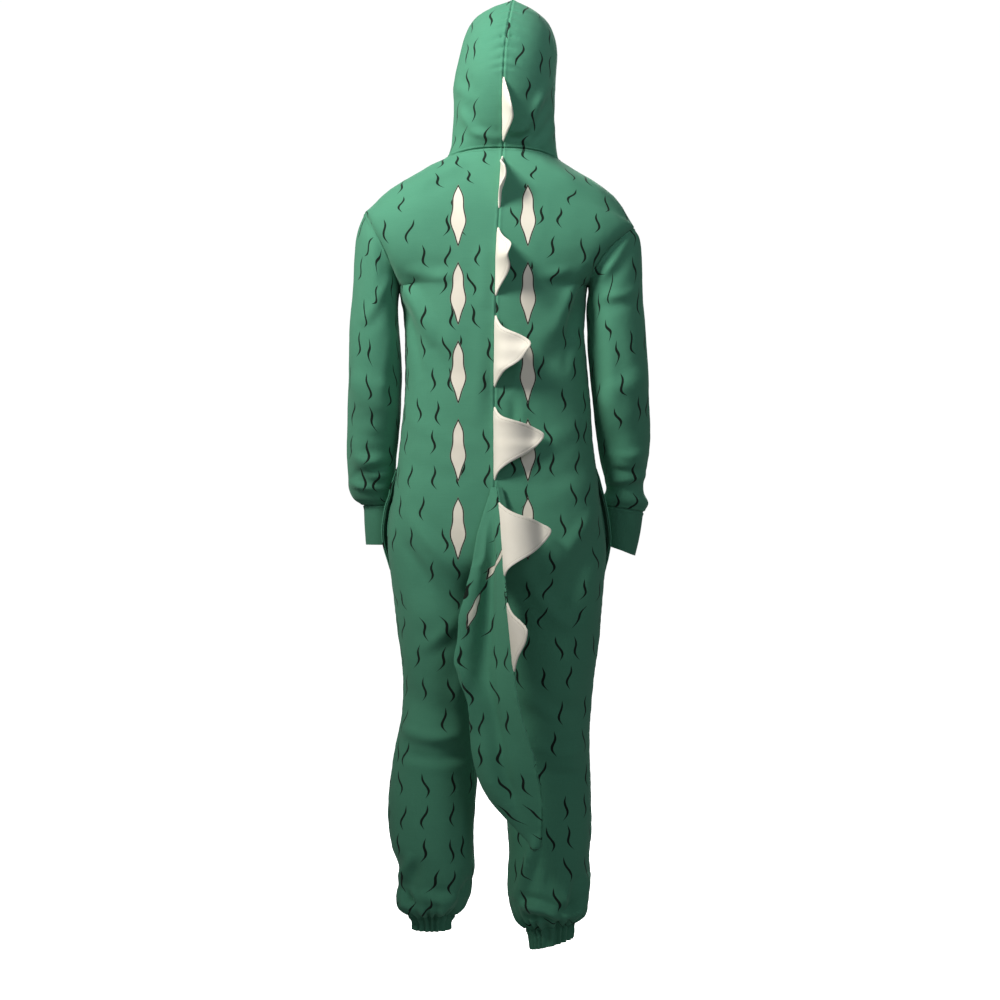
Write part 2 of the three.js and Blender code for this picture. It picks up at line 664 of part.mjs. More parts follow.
// A pocket bag: one layer behind the front panel, a turn, and a layer back to the side seam.
function pocketSheet(front, back) {
  const grid = [];
  const normals = [];
  const near = CLOTH + LAY_GAP;
  const far = near + 2 * POCKET_CLOTH + POCKET_FULLNESS;
  front.grid.forEach((row, i) => {
    const z = row[QUARTER].z;
    if (z > POCKET_TOP_Z + CLOTH || z < POCKET_BOTTOM_Z - CLOTH) {
      return;
    }
    const points = [];
    const outs = [];
    const place = (p, n, depth, sign) => {
      points.push(p.clone().addScaledVector(n, -depth));
      outs.push(n.clone().multiplyScalar(sign));
    };
    const turn = QUARTER - POCKET_COLUMNS;
    place(back.grid[i][QUARTER], back.normals[i][QUARTER], near + 2 * POCKET_CLOTH + SIDE_SLACK, -1);
    for (let j = QUARTER - 1; j >= turn; j -= 1) {
      place(row[j], front.normals[i][j], far, -1);
    }
    const away = row[turn].clone().sub(row[turn + 1]).normalize();
    points.push(row[turn].clone().addScaledVector(front.normals[i][turn], -(near + far) / 2)
      .addScaledVector(away, POCKET_TURN));
    outs.push(away);
    for (let j = turn; j <= QUARTER; j += 1) {
      place(row[j], front.normals[i][j], near, 1);
    }
    grid.push(points);
    normals.push(outs);
  });
  return { grid, normals, closed: false, thickness: POCKET_CLOTH };
}

// A zip tape under the edge of a front panel, reaching to the middle of the slot.
function tapeSheet(front, other) {
  const grid = [];
  const normals = [];
  front.grid.forEach((row, i) => {
    if (row[0].z < ZIP_END_Z) {
      return;
    }
    const n = front.normals[i][0].clone().add(other.normals[i][0]).normalize();
    const along = row[1].clone().sub(row[0]).normalize();
    const middle = row[0].clone().add(other.grid[i][0]).multiplyScalar(0.5);
    const points = [middle, row[0].clone(), row[0].clone().addScaledVector(along, TAPE_LAP)];
    const lap = TAPE_LAP / row[1].distanceTo(row[0]);
    const lapped = front.normals[i][0].clone().lerp(front.normals[i][1], lap).normalize();
    const outs = [n, n, lapped];
    grid.push(points.map((p, k) => p.addScaledVector(outs[k], -(CLOTH + TAPE_GAP))));
    normals.push(outs);
  });
  return { grid, normals, closed: false, thickness: TAPE_CLOTH };
}

// ---------------------------------------------------------------- spikes
// A place on a seam at a height: the point and the way out of the cloth.
function alongSeam(seam, z) {
  let i = 0;
  while (i < seam.length - 2 && seam[i + 1].point.z > z) {
    i += 1;
  }
  const t = (z - seam[i].point.z) / (seam[i + 1].point.z - seam[i].point.z);
  return {
    point: seam[i].point.clone().lerp(seam[i + 1].point, t),
    normal: seam[i].normal.clone().lerp(seam[i + 1].normal, t).normalize(),
  };
}

// How far along its base one edge of a spike stands at a height. limb is that edge, from the base up.
function limbAt(limb, rise) {
  const i = Math.min(limb.findIndex((p) => p.y > rise), limb.length - 1);
  const [low, high] = [limb[i - 1], limb[i]];
  return low.x + (high.x - low.x) * (rise - low.y) / (high.y - low.y);
}

// A rounded, slightly swept triangle of foam, bent over towards its lean as it rises.
function spikeSheet(seam, spike) {
  const length = spike.top - spike.bottom;
  const outline = new THREE.SplineCurve(SPIKE_OUTLINE.map(({ along, out }) => (
    new THREE.Vector2(length * along, spike.height * out)))).getPoints(SPIKE_CURVE_STEPS);
  const peak = outline.reduce((best, p, i) => (p.y > outline[best].y ? i : best), 0);
  const upper = outline.slice(0, peak + 1);
  const lower = outline.slice(peak).reverse();
  const tall = outline[peak].y - SPIKE_BLUNT;
  const grid = [];
  const normals = [];
  for (const t of steps(SPIKE_ROWS)) {
    const rise = tall * t;
    const bend = spike.lean * smooth(rise / spike.height / SPIKE_BENT_BY);
    const [from, to] = [limbAt(lower, rise), limbAt(upper, rise)];
    const flats = [];
    grid.push(steps(SPIKE_COLUMNS).map((u) => {
      const { point, normal } = alongSeam(seam, spike.bottom + from + (to - from) * u);
      const side = new THREE.Vector3(1, 0, 0).addScaledVector(normal, -normal.x).normalize();
      const out = normal.clone().multiplyScalar(Math.cos(bend)).addScaledVector(side, Math.sin(bend));
      const flat = side.multiplyScalar(Math.cos(bend)).addScaledVector(normal, -Math.sin(bend));
      flats.push(flat);
      return point.addScaledVector(normal, SPIKE_GAP).addScaledVector(out, rise)
        .addScaledVector(flat, SPIKE_THICK / 2);
    }));
    normals.push(flats);
  }
  return { grid, normals, thickness: SPIKE_THICK };
}

function closedGeometry(geometry) {
  geometry.deleteAttribute('normal');
  geometry.deleteAttribute('uv');
  const merged = mergeVertices(geometry, 1e-3);
  const whole = [];
  const all = merged.index.array;
  for (let i = 0; i < all.length; i += 3) {
    const [a, b, c] = all.slice(i, i + 3);
    if (a !== b && b !== c && c !== a) {
      whole.push(a, b, c);
    }
  }
  if (signedVolume(merged.attributes.position.array, whole) < 0) {
    whole.reverse();
  }
  merged.setIndex(whole);
  return merged;
}

// ---------------------------------------------------------------- zip hardware
const SLIDER = {
  z: -78, width: 9, length: 12, thick: 3.6, shoulderZ: 2.4, tail: 0.6, nose: 0.72,
  bridgeThick: 2.2, bridgeSunk: 0.5, eyeZ: 1.5, eyeRise: 2.1, eyeRadius: 1.3,
};
// Half of the bridge's outline: how far along the slider, and how far above the eye's middle.
const BRIDGE = table(['along', 'above'], [
  [4.2, 1.2],
  [2.4, 2.3],
]);
const BRIDGE_FOOT = 4.6;
const PULL = { width: 7, length: 30, thick: 1.2, window: 3.6, windowEnd: 9, bar: 1.3 };

function solid(geometry) {
  const merged = closedGeometry(geometry);
  return new wasm.Manifold(new wasm.Mesh({
    numProp: 3,
    vertProperties: new Float32Array(merged.attributes.position.array),
    triVerts: new Uint32Array(merged.index.array),
  }));
}

function fromSolid(shape) {
  const mesh = shape.getMesh();
  const geometry = new THREE.BufferGeometry();
  geometry.setAttribute('position', new THREE.Float32BufferAttribute(mesh.vertProperties, 3));
  geometry.setIndex(Array.from(mesh.triVerts));
  return geometry;
}

// The slider's own axes: x across, y out of the cloth, z up the zip. Its back lies on y = 0.
function sliderGeometry() {
  const half = SLIDER.width / 2;
  const end = SLIDER.length / 2;
  const outline = new THREE.Shape();
  outline.moveTo(-half * SLIDER.tail, -end);
  outline.lineTo(half * SLIDER.tail, -end);
  outline.lineTo(half, SLIDER.shoulderZ);
  outline.lineTo(half * SLIDER.nose, end);
  outline.lineTo(-half * SLIDER.nose, end);
  outline.lineTo(-half, SLIDER.shoulderZ);
  outline.closePath();
  const body = new THREE.ExtrudeGeometry(outline, { depth: SLIDER.thick, bevelEnabled: false });
  body.rotateX(Math.PI / 2);
  body.translate(0, SLIDER.thick, 0);
  const rise = SLIDER.thick + SLIDER.eyeRise;
  const foot = SLIDER.thick - SLIDER.bridgeSunk;
  const arch = new THREE.Shape();
  arch.moveTo(-BRIDGE_FOOT, foot);
  BRIDGE.forEach(({ along, above }) => arch.lineTo(-along, rise + above));
  BRIDGE.toReversed().forEach(({ along, above }) => arch.lineTo(along, rise + above));
  arch.lineTo(BRIDGE_FOOT, foot);
  arch.closePath();
  const eye = new THREE.Path();
  eye.absarc(SLIDER.eyeZ, rise, SLIDER.eyeRadius, 0, 2 * Math.PI, false);
  arch.holes.push(eye);
  const bridge = new THREE.ExtrudeGeometry(arch, {
    depth: SLIDER.bridgeThick, bevelEnabled: false, curveSegments: 5 });
  bridge.applyMatrix4(new THREE.Matrix4().makeBasis(
    new THREE.Vector3(0, 0, 1), new THREE.Vector3(0, 1, 0), new THREE.Vector3(-1, 0, 0)));
  bridge.translate(SLIDER.bridgeThick / 2, 0, 0);
  return fromSolid(solid(body).add(solid(bridge)));
}

// The pull hangs from its own bar, which lies on the axes' x.
function pullGeometry() {
  const half = PULL.width / 2;
  const tab = new THREE.Shape();
  tab.moveTo(-half, PULL.bar / 2);
  tab.lineTo(half, PULL.bar / 2);
  tab.lineTo(half, -PULL.length + half);
  tab.absarc(0, -PULL.length + half, half, 0, -Math.PI, true);
  tab.closePath();
  const window = new THREE.Path();
  window.moveTo(-PULL.window / 2, -PULL.bar / 2);
  window.lineTo(-PULL.window / 2, -PULL.windowEnd);
  window.lineTo(PULL.window / 2, -PULL.windowEnd);
  window.lineTo(PULL.window / 2, -PULL.bar / 2);
  window.closePath();
  tab.holes.push(window);
  const geometry = new THREE.ExtrudeGeometry(tab, { depth: PULL.thick, bevelEnabled: false, curveSegments: 5 });
  geometry.translate(0, 0, -PULL.thick / 2);
  geometry.rotateX(Math.PI / 2);
  return closedGeometry(geometry);
}

// ---------------------------------------------------------------- the garment
const sheets = {};
for (const side of ['left', 'right']) {
  for (const face of ['back', 'front']) {
    sheets[`${face}_${side}`] = bodyGrid(side, face);
  }
  sheets[`sleeve_${side}`] = {
    grid: ringGrid(SLEEVES[side], 2 * QUARTER, SLEEVE_STEPS, side), closed: true };
  sheets[`cuff_${side}`] = {
    grid: ringGrid(CUFFS[side], 2 * QUARTER, 2, side), closed: true, thickness: CUFF_CLOTH };
  const neckline = [
    ...sheets[`back_${side}`].grid[0],
    ...sheets[`front_${side}`].grid[0].slice(0, -1).reverse(),
  ].map((p) => p.clone());
  sheets[`hood_${side}`] = { grid: hoodGrid(side, neckline) };
}
applyFolds(Object.values(sheets));
const backGrids = [sheets.back_left.grid, sheets.back_right.grid];
for (const side of ['left', 'right']) {
  sheets[`tail_${side}`] = {
    grid: tailGrid(side, backGrids), core: tailCore, mitreLimit: TAIL_MITRE_LIMIT };
}
weldedNormals(Object.values(sheets));

const garment = new THREE.Group();

function addPiece(name, geometry, colour, roughness = 0.9, metalness = 0) {
  const material = new THREE.MeshStandardMaterial({ color: colour, roughness, metalness });
  const mesh = new THREE.Mesh(geometry, material);
  mesh.name = name;
  garment.add(mesh);
  return mesh;
}

// A sheet's rows from one to another, both included, as a sheet of its own.
const rowsOf = (sheet, from, to) => ({
  closed: sheet.closed,
  turnedRim: from === 0 ? sheet.turnedRim : undefined,
  grid: sheet.grid.slice(from, to + 1),
  normals: sheet.normals.slice(from, to + 1),
  mitres: sheet.mitres.slice(from, to + 1),
});

// A long panel is one piece of cloth but several solids, which bend round the wearer's room more
// closely than one. They meet at the rows given.
function addSolids(names, sheet, meetings) {
  const ends = [0, ...meetings, sheet.grid.length - 1];
  names.forEach((name, i) => addPiece(name, wall(rowsOf(sheet, ends[i], ends[i + 1])), COLOURS.knit));
}

for (const side of ['left', 'right']) {
  for (const face of ['back', 'front']) {
    const panel = sheets[`${face}_${side}`];
    addSolids([`${face}_${side}`, `lower_${face}_${side}`, `leg_${face}_${side}`],
      panel, [WAIST_STEP, panel.crotch]);
  }
  addSolids([`sleeve_${side}`, `elbow_sleeve_${side}`, `forearm_sleeve_${side}`, `lower_sleeve_${side}`],
    sheets[`sleeve_${side}`], SLEEVE_MEETINGS);
  addPiece(`cuff_${side}`, wall(sheets[`cuff_${side}`]), COLOURS.rib);
  addPiece(`hood_${side}`, wall(sheets[`hood_${side}`]), COLOURS.knit);
  addPiece(`tail_${side}`, wall(sheets[`tail_${side}`]), COLOURS.knitShade);
  const other = side === 'left' ? 'right' : 'left';
  addPiece(`pocket_bag_${side}`,
    wall(pocketSheet(sheets[`front_${side}`], sheets[`back_${side}`])), COLOURS.knitShade);
  addPiece(`zip_tape_${side}`,
    wall(tapeSheet(sheets[`front_${side}`], sheets[`front_${other}`])), COLOURS.tape);
  // The leg's last row, from the outer point round by the back, as the casing's rings go.
  const legRing = (kind) => {
    const back = sheets[`back_${side}`][kind].at(-1);
    const front = sheets[`front_${side}`][kind].at(-1);
    return [...back.slice(1).reverse(), ...front.slice(0, -1)].map((p) => p.clone());
  };
  addPiece(`ankle_casing_${side}`,
    wall(casingSheet(side, legRing('grid'), legRing('normals'))), COLOURS.rib);
}

const columnSeam = (sheet, column) => sheet.grid.map((row, i) => ({
  point: row.at(column), normal: sheet.normals[i].at(column) }));
const seams = {
  hood: columnSeam(sheets.hood_left, 0).reverse(),
  back: columnSeam(sheets.back_left, 0),
  tail: sheets.tail_left.grid.map((row) => ({
    point: row.at(-1), normal: row.at(-1).clone().sub(row[0]).setZ(0).normalize() })),
};
SPIKES.forEach((spike, i) => {
  addPiece(`spike_${i + 1}`, wall(spikeSheet(seams[spike.on], spike)), COLOURS.cream);
});

// The slider stands on the tapes, square to the zip, and the pull hangs from its bridge.
const zipLine = columnSeam(sheets.front_left, 0).map(({ point, normal }, i) => ({
  point: point.clone().add(sheets.front_right.grid[i][0]).multiplyScalar(0.5),
  normal: normal.clone().add(sheets.front_right.normals[i][0]).normalize(),
}));
const seat = alongSeam(zipLine, SLIDER.z);
const above = alongSeam(zipLine, SLIDER.z + SLIDER.length / 2).point;
const below = alongSeam(zipLine, SLIDER.z - SLIDER.length / 2).point;
const up = above.sub(below).setX(0).normalize();
const out = up.clone().cross(new THREE.Vector3(1, 0, 0)).normalize();
const across = out.clone().cross(up);
const turn = new THREE.Quaternion().setFromRotationMatrix(new THREE.Matrix4().makeBasis(across, out, up));
const slider = addPiece('zip_slider', sliderGeometry(), COLOURS.metal, 0.35, 0.9);
slider.position.copy(seat.point).addScaledVector(out, SEAM_GAP - CLOTH - TAPE_GAP);
slider.quaternion.copy(turn);
const pull = addPiece('zip_pull', pullGeometry(), COLOURS.metal, 0.35, 0.9);
pull.position.copy(slider.position)
  .addScaledVector(out, SLIDER.thick + SLIDER.eyeRise)
  .addScaledVector(up, SLIDER.eyeZ);
pull.quaternion.copy(turn);

export default garment;
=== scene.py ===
"""Looks of a worn, hollow, hooded costume jumpsuit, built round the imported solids.

Sizes and places in the tables are millimetres, in the part's own frame: +X is the wearer's right,
+Y the way the wearer faces, +Z up. Meshes are made in metres. Every cloth piece is a grid of points
laid on the same curves as its solid, then folded, seamed and given its thickness.
"""
import math

import bmesh
import bpy
import numpy as np
from mathutils import Matrix, Vector
from mathutils.bvhtree import BVHTree
from mathutils.kdtree import KDTree


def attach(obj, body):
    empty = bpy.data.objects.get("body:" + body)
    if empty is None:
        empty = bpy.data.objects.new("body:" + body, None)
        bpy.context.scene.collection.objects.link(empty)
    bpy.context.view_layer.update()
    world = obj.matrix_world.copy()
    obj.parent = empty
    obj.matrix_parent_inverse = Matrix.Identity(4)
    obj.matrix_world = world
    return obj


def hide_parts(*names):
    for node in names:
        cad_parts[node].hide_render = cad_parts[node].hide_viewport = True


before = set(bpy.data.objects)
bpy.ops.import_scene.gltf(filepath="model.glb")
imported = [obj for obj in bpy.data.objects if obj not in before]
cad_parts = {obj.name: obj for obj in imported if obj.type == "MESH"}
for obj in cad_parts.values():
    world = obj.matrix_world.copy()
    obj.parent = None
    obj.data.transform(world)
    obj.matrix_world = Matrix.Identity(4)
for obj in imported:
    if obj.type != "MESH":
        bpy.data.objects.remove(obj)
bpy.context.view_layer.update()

# ---------------------------------------------------------------- driving dimensions
MM = 0.001
CLOTH = 2.0
CUFF_CLOTH = 3.0
BAG_CLOTH = 1.0
TAPE_CLOTH = 1.2
LAY_GAP = 0.5
TAPE_GAP = 0.8

UNDERARM_Z = -230.0
SEAT_Z = -740.0
CROTCH_Z = -880.0
NECK_BACK_Z = 25.0
NECK_FRONT_Z = -30.0
QUARTER = 8               # steps of the solid across a panel
SHOULDER_STEPS = 4
UPPER_STEPS = SHOULDER_STEPS + QUARTER
SQUARENESS = 0.84
SEAM_STEPS = (0, 0.9, 2.0, 3.4, 5.0, 6.8, 9.0)   # points beside a seam, where its relief is fine
ROW_CURVE = 129           # points on a row's curve before it is spaced out
HOOD_STEPS = 11           # rows of the solid up the hood, down a sleeve, a cuff or casing, a leg and the tail
SLEEVE_STEPS = 12
CUFF_STEPS = 2
LEG_STEPS = 14
TAIL_STEPS = 16
AROUND = 96               # points round a sleeve or cuff

ZIP_HALF = 6.0
ZIP_END_Z = -620.0
ZIP_TAPER = 35.0
TAPE_LAP = 10.0
TOOTH_PITCH = 3.0

POCKET_TOP_Z = -570.0
POCKET_BOTTOM_Z = -775.0
POCKET_BOW = 14.0
POCKET_FULLNESS = 6.0
SIDE_SLACK = 1.5

GATHERS = 23              # round each ankle
GATHER_DEPTH = 7.0        # on the casing
LEG_GATHERS = 1.4         # times that, on the leg above it
CREASE_STRENGTH = 1.6     # times the heights in the table of creases
CUFF_PUCKERS = 13
PUCKER_HEIGHT = 5.0       # beside the seam over the head
TAIL_VALLEY = 9.0         # depth of the long fold down the tail
HEM_STITCH = 20.0         # from a hem's edge to its stitches
SEAM_STITCH = 6.0         # from a seam to its topstitching
STITCH_HALF = 0.8         # of the thread's width
STITCH_PITCH = 3.4
STITCH_SHARE = 0.68       # of the pitch that is thread
NO_STITCH = 99.0          # a distance at which no stitch shows

PRINT_SHIFT = (137.0, 23.0)   # the right side is cut from another place of the printed cloth

SPIKE_THICK = 5.0
ROOT_LIFT = 1.2           # of a spike's root, so that it stays out of the cloth's inner face
SPIKE_RIM = 7.0           # the foam's edge is rounded over this width
SPIKE_STITCH = 5.2        # from a spike's edge to its stitches
RIM_STEPS = (0, 0.8, 2, 3.2, 4.4, 5.2, 6, 7.4)    # points beside a spike's edge, and below its peak
PEAK_STEPS = (4.5, 3.2, 2.0, 1.1, 0.45, 0.1)
TAIL_ROOT_END_Z = -760.0
TIP_CLOSE = 5.0


def table(columns, rows):
    """Named columns of a table, each as an array."""
    return {name: np.array([row[i] for row in rows], float) for i, name in enumerate(columns.split())}


CENTRE = table("z x back front", [
    (25, 6, -75, 40), (0, 4, -89, 55), (-30, 2, -100, 70), (-60, 0, -108, 90), (-100, -2, -115, 105),
    (-160, -5, -121, 117), (-230, -7, -124, 123), (-350, -9, -120, 126), (-450, -10, -113, 124),
    (-550, -10, -116, 120), (-650, -10, -130, 118), (-720, -11, -136, 116), (-800, -13, -130, 106),
    (-880, -14, -112, 92)])

SIDES = table("z left right", [
    (-230, -190, 167), (-300, -183, 158), (-350, -180, 161), (-410, -178.5, 167), (-465, -182, 172),
    (-540, -190, 178), (-600, -198, 184), (-655, -208, 191), (-712, -214, 198), (-770, -208, 198),
    (-820, -200, 195), (-880, -194, 189)])

SHOULDERS = {
    "left": table("x y z", [
        (-100, -4, 12), (-128, -6, 0), (-170, -7, -24), (-215, -5, -52), (-255, 0, -91)]),
    "right": table("x y z", [
        (112, -4, 7), (138, -6, -8), (180, -7, -34), (220, -5, -66), (254, 0, -119)]),
}

# Rings of the limbs, each through an outer and an inner point, 2 x depth from front to back.
RING = "outX outZ inX inZ y depth scoop"
SLEEVES = {
    "left": table(RING, [
        (-255, -91, -190, -230, 0, 78, 4), (-269, -128, -192.5, -264, 0, 77, 3),
        (-276, -176, -191, -300, 2, 76, 1), (-280, -238, -188, -345, 5, 74, 0),
        (-285, -303, -187, -388, 9, 73, 0), (-288, -368, -188, -432, 16, 72, 0),
        (-290, -430, -190, -477, 26, 70, 0), (-292, -490, -194, -522, 40, 67, 0),
        (-293, -545, -199, -562, 56, 63, 0), (-291, -588, -201, -595, 72, 59, 0),
        (-290, -614, -198, -618, 84, 56, 0), (-281, -634, -190, -636, 92, 52, 0),
        (-262, -645, -188, -645, 95, 42, 0)]),
    "right": table(RING, [
        (254, -119, 167, -230, 0, 76, 16), (267, -142, 166, -262, 0, 76, 9),
        (271, -182, 165, -298, 1, 75, 4), (273, -245, 166, -340, 3, 74, 1),
        (277, -305, 170, -384, 6, 73, 0), (281, -368, 174, -430, 12, 72, 0),
        (284, -430, 179, -477, 20, 70, 0), (286, -492, 185, -522, 31, 67, 0),
        (285, -546, 192, -562, 44, 63, 0), (278, -590, 202, -596, 56, 57, 0),
        (276, -620, 204, -618, 64, 52, 0), (285, -642, 195, -634, 70, 53, 0),
        (275, -659, 197, -645, 74, 44, 0)]),
}
CUFFS = {
    "left": table(RING, [
        (-262, -645, -188, -645, 95, 42, 0), (-261, -684, -191, -684, 98, 40, 0),
        (-258, -722, -196, -722, 100, 36, 0)]),
    "right": table(RING, [
        (275, -659, 197, -645, 74, 44, 0), (269, -702, 200, -684, 78, 41, 0),
        (260, -743, 205, -722, 82, 37, 0)]),
}
LEGS = {
    "left": table(RING, [
        (-194, -880, -14, -880, -10, 102, 0), (-188, -930, -23, -930, -6, 97, 0),
        (-184, -985, -30, -985, 0, 91, 0), (-188, -1050, -38, -1050, 5, 86, 0),
        (-198, -1098, -41, -1098, 6, 84, 0), (-207, -1161, -44, -1161, 4, 84, 0),
        (-211, -1215, -48, -1215, 0, 86, 0), (-209, -1263, -51, -1263, -4, 88, 0),
        (-202, -1300, -51, -1300, -6, 88, 0), (-190, -1332, -49, -1332, -6, 84, 0),
        (-188, -1362, -53, -1362, -6, 82, 0), (-196, -1388, -60, -1388, -6, 84, 0),
        (-192, -1408, -70, -1408, -5, 76, 0), (-174, -1420, -86, -1420, -3, 55, 0)]),
    "right": table(RING, [
        (189, -880, -14, -880, -10, 102, 0), (183, -930, -9, -930, -6, 99, 0),
        (176, -985, -3, -985, 0, 93, 0), (170, -1050, 4, -1050, 5, 88, 0),
        (169, -1105, 9, -1105, 6, 85, 0), (171, -1165, 11, -1165, 4, 84, 0),
        (173, -1220, 12, -1220, 0, 86, 0), (173, -1268, 15, -1268, -4, 88, 0),
        (169, -1305, 17, -1305, -6, 88, 0), (170, -1340, 15, -1340, -6, 85, 0),
        (171, -1375, 15, -1375, -6, 83, 0), (168, -1404, 21, -1406, -6, 82, 0),
        (160, -1424, 32, -1430, -5, 74, 0), (139, -1434, 51, -1446, -3, 54, 0)]),
}
ANKLES = {
    "left": table(RING, [
        (-174, -1420, -86, -1420, -3, 55, 0), (-166, -1436, -94, -1436, -2, 49, 0),
        (-165, -1450, -95, -1450, -2, 48, 0)]),
    "right": table(RING, [
        (139, -1434, 51, -1446, -3, 54, 0), (139, -1450, 56, -1466, -2, 49, 0),
        (138, -1466, 58, -1488, -2, 48, 0)]),
}

# Hood rows above the neckline. The face edge is faceX from the middle.
HOOD = table("seamX midX backY backZ width faceX faceY faceZ", [
    (6, 8, -97, 60, 99, 44, 84, 18), (6, 8, -113, 97, 96.5, 60, 90, 56),
    (6, 9, -124, 133, 96, 68, 93, 97), (7, 9, -127, 168, 96, 70, 95, 136),
    (9, 12, -121, 201, 94.5, 69, 96, 170), (12, 16, -108, 232, 92, 67, 97, 202),
    (16, 18, -91, 259, 86, 62, 97, 230), (20, 19, -72, 280, 76, 55, 96, 255),
    (22, 20, -56, 294, 62, 46, 94, 271), (24, 21, -44, 303, 40, 31, 91, 281),
    (25, 25, -34, 309, 0, 0, 88, 288)])

TAIL = table("z rootX rootHalf keelY leftX leftY foldX foldY ridgeX ridgeY", [
    (-612.5, -9, 6, -127, -17, -131, -12, -135, -7, -140),
    (-655, -9, 15, -131, -30, -142, -16, -147, 0, -160),
    (-697.5, -10, 22, -135, -42, -152, -21, -155, 3, -176),
    (-740, -11, 26, -136, -50, -162, -22, -160, 6, -192),
    (-775, -12, 0.3, -136, -56, -171, -21, -165, 9, -204),
    (-810, -13, 0.3, -133, -62, -178, -21, -169, 12, -213),
    (-860, -14, 0.3, -136, -72, -187, -23, -174, 17, -223),
    (-921, -14, 0.3, -139, -82, -193, -27, -180, 23, -230),
    (-955, -13, 0.3, -141, -78, -196, -32, -184, 27, -232),
    (-1000, -9, 0.3, -144, -61, -197, -38, -189, 33, -232),
    (-1050, -4, 0.3, -147, -55, -193, -33, -190, 45, -230),
    (-1102, 4, 0.3, -150, -51, -191, -36, -196, 61, -226),
    (-1142, 14, 0.3, -152, -42, -188, -22, -199, 70, -221),
    (-1182, 28, 0.3, -154, -23, -185, -2, -198, 78, -214),
    (-1212, 40, 0.3, -158, 0, -184, 20, -196, 79, -208),
    (-1244, 54, 0.3, -166, 30, -185, 45, -195, 78, -202),
    (-1275, 67, 0.3, -178, 58, -187, 63, -194, 76, -196)])

SPIKES = [  # on, top, bottom, height, lean
    ("hood", 152, 36, 48, 0.05),
    ("back", 8, -92, 54, -0.15),
    ("back", -128, -256, 66, 0.25),
    ("back", -292, -426, 80, 0.55),
    ("back", -462, -600, 92, 1.1),
    ("tail", -640, -776, 96, 1.15),
    ("tail", -824, -950, 58, 0.2),
]

# Large soft folds, as in the solids: a ridge (a dent below 0) from one point to another.
FOLDS = table("x1 y1 z1 x2 y2 z2 width height", [
    (-185, -60, -250, -110, -120, -330, 26, 5), (-180, -50, -290, -100, -120, -400, 26, -4),
    (165, -60, -240, 90, -120, -330, 26, 5), (155, -50, -285, 80, -120, -400, 26, -4),
    (-180, 60, -250, -100, 120, -330, 26, 5), (160, 60, -250, 90, 120, -330, 26, 5),
    (-280, -30, -420, -210, -40, -460, 26, 5), (-285, -20, -490, -215, -30, -520, 24, -4),
    (280, -40, -400, 200, -50, -450, 26, 5), (280, -20, -480, 205, -30, -530, 24, -4),
    (-280, -10, -560, -215, 20, -590, 22, 5), (275, -20, -560, 215, 0, -585, 22, 5),
    (-150, -110, -800, -60, -105, -860, 30, -5), (140, -110, -800, 50, -105, -850, 30, -5),
    (-170, -60, -1010, -60, -85, -1040, 26, -5), (-185, -60, -1070, -60, -80, -1085, 26, 5),
    (160, -60, -1030, 20, -80, -1050, 26, -5), (160, -60, -1085, 30, -80, -1100, 26, 5),
    (-190, -60, -1290, -70, -85, -1350, 26, 5), (-170, -70, -1345, -60, -80, -1385, 24, 5),
    (160, -60, -1300, 40, -85, -1350, 26, 5), (150, -70, -1360, 30, -80, -1400, 24, 5),
    (-170, 80, -1010, -60, 90, -1030, 26, 5), (160, 80, -1010, 20, 90, -1030, 26, 5),
    (-170, 70, -1330, -60, 80, -1370, 26, 5), (150, 70, -1340, 30, 80, -1385, 26, 5),
    (-120, 120, -500, 0, 130, -560, 30, 4), (110, 120, -540, 20, 125, -600, 30, 4)])

